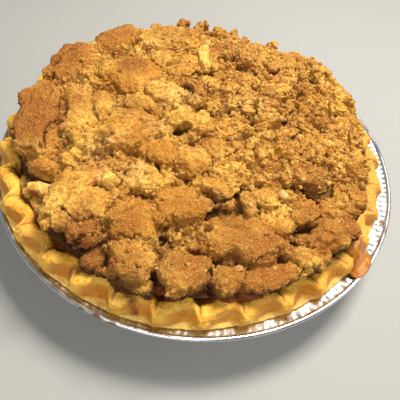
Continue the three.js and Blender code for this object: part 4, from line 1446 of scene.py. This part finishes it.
PALE = (
    (-48, -40, 11, 0.45), (-16, 2, 14, 0.4), (-24, -24, 9, 0.35), (-30, -52, 9, 0.4), (18, 10, 12, 0.3),
    (-78, 12, 12, 0.2), (-42, -57, 8, 0.6), (-76, -74, 7, 0.5), (6, 74, 9, 0.3), (14, -63, 7, 0.5),
    (-40, 50, 13, 0.3), (36, 12, 14, 0.3),
)


def cells_of(points):
    """The square of the map that each point lies in."""
    return tuple(np.clip(np.round(points[:, :2] + MAP_HALF).astype(int), 0, 2 * MAP_HALF).T)


def height_map(pieces):
    """The highest point of the pieces in each square millimetre, blurred."""
    size = 2 * MAP_HALF + 1
    top = np.full((size, size), -np.inf)
    for piece in pieces:
        points = points_of(piece)
        np.maximum.at(top, cells_of(points), points[:, 2])
    known_at = np.isfinite(top)
    kernel = np.exp(-0.5 * (np.arange(-3 * BLUR, 3 * BLUR + 1) / BLUR) ** 2)

    def blurred(grid):
        for axis in (0, 1):
            grid = np.apply_along_axis(np.convolve, axis, grid, kernel, mode="same")
        return grid

    return blurred(np.where(known_at, top, 0)) / np.maximum(blurred(known_at.astype(float)), 1e-6)


def depth_of(points):
    """How far each point lies under the mean height round it."""
    return TOPS[cells_of(points)] - points[:, 2]


TOPS = height_map(CRUMBLES.values())
for piece in CRUMBLES.values():
    points = points_of(piece)
    depth = depth_of(points)
    raised = RAISED_TOAST * smoothstep(-depth, 2.0, 4.5)
    toast = np.minimum(TOAST_AND_SHADE_SHARE * spots(points, TOASTED_AND_SHADED) + raised, 1)
    store(piece, depth=depth, toast=toast, pale=spots(points, PALE))
print("mean height of the middle:", round(float(TOPS[MAP_HALF, MAP_HALF]), 1), "mm")

# %% [markdown]
# ## Loose crumbs
#
# Crumbs that never stuck to a clump lie all over, most of them to the right and at the back, and in
# the gaps. They are scattered by Geometry Nodes on the finished skin: points on its faces, a small ball
# on each point with a random size and turn, then one noise over all of them that makes every crumb
# different. Three sizes are scattered, and the two finer ones have only twenty faces a crumb. Every
# draw has a seed of its own, a few steps from the tree's seed.


# %% Build the crumb tree
CRUMB_STRETCH = ((0.75, 0.75, 0.6), (1.3, 1.2, 1.0))  # of a crumb's radius, from least to most
SMALL_ONES = 1.7  # the power of the draw: over 1 makes small crumbs more frequent
CRUMB_TONES = (("toast", 0.9, 3.0), ("pale", 0.9, 2.0))  # number, most of it, and the draw's power


def crumb_tree():
    tree, given = new_tree("crumbs", per_square_metre=1000.0, smallest=0.001, largest=0.002,
                           roundness=2, roughness=0.3, seed=1)
    inputs = {"Mesh": given["Geometry"], "Density": known(tree, "crumbs") * given["Per Square Metre"],
              "Seed": given["Seed"]}
    points = add_node(tree, "GeometryNodeDistributePointsOnFaces", inputs, output="Points")
    inputs = {"Radius": 1.0, "Subdivisions": given["Roundness"]}
    ball = add_node(tree, "GeometryNodeMeshIcoSphere", inputs)

    def draw(kind, low, high, step):
        first, output = {"FLOAT": (2, 1), "FLOAT_VECTOR": (0, 0)}[kind]
        inputs = {first: low, first + 1: high, "Seed": given["Seed"] + step}
        return add_node(tree, "FunctionNodeRandomValue", inputs, output, data_type=kind)

    share = draw("FLOAT", 0.0, 1.0, 1.0).maths("POWER", SMALL_ONES)
    radius = (given["Smallest"] + share * (given["Largest"] - given["Smallest"])) * 0.5
    shape = draw("FLOAT_VECTOR", *CRUMB_STRETCH, 2.0).vector("SCALE", factor=radius)
    turn = draw("FLOAT_VECTOR", (0, 0, 0), (6.28, 6.28, 6.28), 3.0)
    inputs = {"Points": points, "Instance": ball, "Rotation": turn, "Scale": shape}
    placed = add_node(tree, "GeometryNodeInstanceOnPoints", inputs)
    for step, (name, most, power) in enumerate(CRUMB_TONES, 4):
        value = draw("FLOAT", 0.0, most, float(step)).maths("POWER", power)
        placed = kept(tree, placed, name, value, "INSTANCE")
    real = add_node(tree, "GeometryNodeRealizeInstances", {"Geometry": placed})
    place = add_node(tree, "GeometryNodeInputPosition")
    inputs = {"Vector": place, "Scale": 1.3 / given["Largest"], "Detail": 1.0}
    bend = add_node(tree, "ShaderNodeTexNoise", inputs, output="Color")
    push = bend.vector("SUBTRACT", (0.5, 0.5, 0.5)).vector(
        "SCALE", factor=given["Largest"] * given["Roughness"])
    shaken = add_node(tree, "GeometryNodeSetPosition", {"Geometry": real, "Offset": push})
    return ended(tree, given, add_node(tree, "GeometryNodeSetShadeSmooth", {"Geometry": shaken}))


CRUMB_TREE = crumb_tree()
print("tree:", CRUMB_TREE.name, "with", len(CRUMB_TREE.nodes), "nodes")

# %% [markdown]
# ### Where the crumbs lie
#
# A crumb rolls into hollows and off steep sides, so a number `crumbs` on the skin is high where it faces
# up and lies in a hollow, and higher to the right and back, where the crumble is loose. The smooth
# middles of the clumps get few.

# %% Say where the crumbs lie
ON_A_SLOPE, IN_A_HOLLOW = 0.16, 0.6  # how many crumbs lie anywhere, and how many more in a hollow
WHERE_FIRM, WHERE_LOOSE = 0.35, 0.65  # how many are left where it is firm, and how many more if loose
ALL_CALM = 0.7  # no crumbs where `calm` reaches this
LEVEL = (0.35, 0.8)  # slopes of the skin from which crumbs roll off and on which they stay
INSIDE = (103, 98)  # radii from none to all
DEEP_ENOUGH, TOO_DEEP = (-1.5, 2.5), (9, 6)


def copied(piece, name):
    """A second object with a mesh of its own."""
    return linked(name, piece.data.copy())


def joined(name, pieces):
    """Several mesh objects made into one."""
    with bpy.context.temp_override(active_object=pieces[0], selected_editable_objects=pieces):
        bpy.ops.object.join()
    pieces[0].name = pieces[0].data.name = name
    return pieces[0]


def crumb_ground():
    """A copy of the whole skin with the number that says where crumbs lie."""
    ground = joined("crumb_ground", [copied(piece, "ground") for piece in CRUMBLES.values()])
    points = points_of(ground)
    up = smoothstep(read(ground.data.vertices, "normal", 3)[:, 2], *LEVEL)
    inside = smoothstep(np.hypot(points[:, 0], points[:, 1]), *INSIDE)
    depth = depth_of(points)
    hollow = smoothstep(depth, *DEEP_ENOUGH) * smoothstep(depth, *TOO_DEEP)
    calm = read(ground.data.attributes["calm"].data, "value")
    crumbs = up * inside * (ON_A_SLOPE + IN_A_HOLLOW * hollow)
    store(ground, crumbs=crumbs * (WHERE_FIRM + WHERE_LOOSE * loose_at(points)) * (1 - calm / ALL_CALM))
    return ground


GROUND = crumb_ground()
print("ground for the crumbs:", triangles(GROUND), "triangles")

# %% [markdown]
# ### Scatter them
#
# The same tree runs three times on a copy of that ground. The heights of the skin and the crumbs are
# then held to the solid's top, because the finished pie may stand only a little over it.

# %% Scatter the crumbs
CRUMB_SIZES = {  # how many a square metre, smallest and largest in metres, roundness, roughness, seed
    "crumbs_large": (70000.0, 0.0026, 0.0056, 2, 0.9, 11),
    "crumbs_small": (620000.0, 0.0015, 0.0030, 1, 0.6, 12),
    "crumbs_fine": (1000000.0, 0.0009, 0.0016, 1, 0.5, 13),
}
SOLID_TOP = 72.4  # the highest point of the solid heap
PRESSED_DOWN = 0.7  # of what stands over it


def scattered(name, per_square_metre, smallest, largest, roundness, roughness, seed):
    piece = applied(use_tree(
        copied(GROUND, name), CRUMB_TREE, per_square_metre=per_square_metre, smallest=smallest,
        largest=largest, roundness=roundness, roughness=roughness, seed=seed, material=CRUMBLE))
    nothing = np.zeros(len(piece.data.vertices))
    store(piece, depth=nothing, crack=nothing, tone=nothing, split=nothing, pebble=nothing + 1)
    return piece


CRUMBS = {name: scattered(name, *sizes) for name, sizes in CRUMB_SIZES.items()}
bpy.data.meshes.remove(GROUND.data)  # the object goes with its mesh
for piece in (*CRUMBLES.values(), *CRUMBS.values()):
    points = points_of(piece)
    points[:, 2] -= PRESSED_DOWN * np.maximum(points[:, 2] - SOLID_TOP, 0)
    move_points(piece, points)
print("crumbs:", {name: triangles(piece) for name, piece in CRUMBS.items()})

# %% [markdown]
# ## Syrup
#
# Two runs of syrup boiled over the rim at the right and set there: a long one that crosses the pastry
# and the tin's bead, and a thin skin on the pastry further round. Each is a flattened roll that follows
# the pastry's outside, thick in the middle and thin at its edges.

# %% The runs of syrup
SYRUP_RUNS = {  # azimuth in degrees, path as (radius, z), half widths and half thicknesses along it,
    # and how far the run drifts sideways on its way
    "syrup_drip": {
        "azimuth": 325, "path": ((104, 44.2), (109, 43), (113, 39), (116.5, 34.4), (122.6, 32.9)),
        "widths": (4, 6.5, 8.5, 10, 9.5), "thick": (1.4, 1.5, 1.6, 1.7, 1.3), "drift": -3,
    },
    "syrup_smear": {
        "azimuth": 21, "path": ((103.2, 43), (106.2, 43), (110.2, 41), (113.2, 37.4), (114.8, 33.8)),
        "widths": (6, 8, 9, 8, 6), "thick": (1.2, 1.4, 1.5, 1.6, 1.2), "drift": -5,
    },
}
SYRUP_ROUND = 40
SYRUP_STEPS = 12  # between two points of the path


def syrup_run(name, azimuth, path, widths, thick, drift):
    middle = through([[(r, 0, z)] for r, z in path], SYRUP_STEPS)[:, 0]
    share = np.linspace(0, 1, len(middle))
    tangent = np.gradient(middle, axis=0)
    tangent /= np.linalg.norm(tangent, axis=1)[:, None]
    blunt = np.sqrt(np.clip(1 - (2 * share - 1) ** 6, 0, 1))
    spots_along = np.linspace(0, 1, len(widths))
    wide, high = (np.interp(share, spots_along, sizes) * blunt for sizes in (widths, thick))
    angles = around(SYRUP_ROUND)
    cos, sin = math.cos(math.radians(azimuth)), math.sin(math.radians(azimuth))
    rows = []
    for i in range(len(middle)):
        across = np.cos(angles) * wide[i] + drift * (share[i] - 0.5)
        up = np.sin(angles) * high[i]
        r = middle[i, 0] - tangent[i, 2] * up
        z = middle[i, 2] + tangent[i, 0] * up
        rows.append(np.column_stack([r * cos - across * sin, r * sin + across * cos, z]))
    return tidied(mesh_object("set_" + name, *turned_grid(rows)))


def syrup_material():
    paint = Paint("set_syrup")
    streaks = paint.noise(120, 3)
    colour = paint.colours(streaks.spread(0.35, 0.65), (186, 116, 26), (132, 70, 12))
    return paint.finish(paint.noise(150, 2), 0.0012, 0.5, base_color=colour,
                        roughness=streaks.spread(0.3, 0.7, 0.08, 0.2),
                        coat_weight=0.25, coat_roughness=0.05)


SYRUP = syrup_material()
SYRUPS = {}
for name, sizes in SYRUP_RUNS.items():
    SYRUPS[name] = applied(use_tree(syrup_run(name, **sizes), RELIEF, wave_size=0.007,
                                    wave_height=0.0005, seed=4.0, material=SYRUP))
print("syrup:", {name: triangles(piece) for name, piece in SYRUPS.items()})

# %% [markdown]
# ## The solids give way
#
# Each piece is listed with the solid it replaces, and that solid is hidden. The whole pie is one body,
# so all of it rides on the root. Last, the sizes of the solids and of the dressed pie are printed side
# by side.

# %% Hide the solids, put the pieces on the root, and print the sizes
DRESSED = {
    "foil": {TIN: ["foil_pan"]},
    "pastry": {PASTRY: ["pastry_case"]},
    "filling": {FILLING: ["apple_filling"]},
    "apple": {piece: [name] for name, piece in APPLES.items()},
    "syrup": {piece: [name] for name, piece in SYRUPS.items()},
    "crumble": {piece: ["crumb_topping"] for piece in (*CRUMBLES.values(), *CRUMBS.values())},
}
for slot, pieces in DRESSED.items():
    for piece, nodes in pieces.items():
        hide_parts(*nodes)
        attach(piece, "root")

sizes = {"cad": [list(corner) for corner in cad_box], "visual": [list(corner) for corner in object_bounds()]}
print("sizes in millimetres:", {
    name: [[round(c * 1000, 1) for c in corner] for corner in box] for name, box in sizes.items()})
print("triangles in all:", sum(triangles(o) for group in DRESSED.values() for o in group))
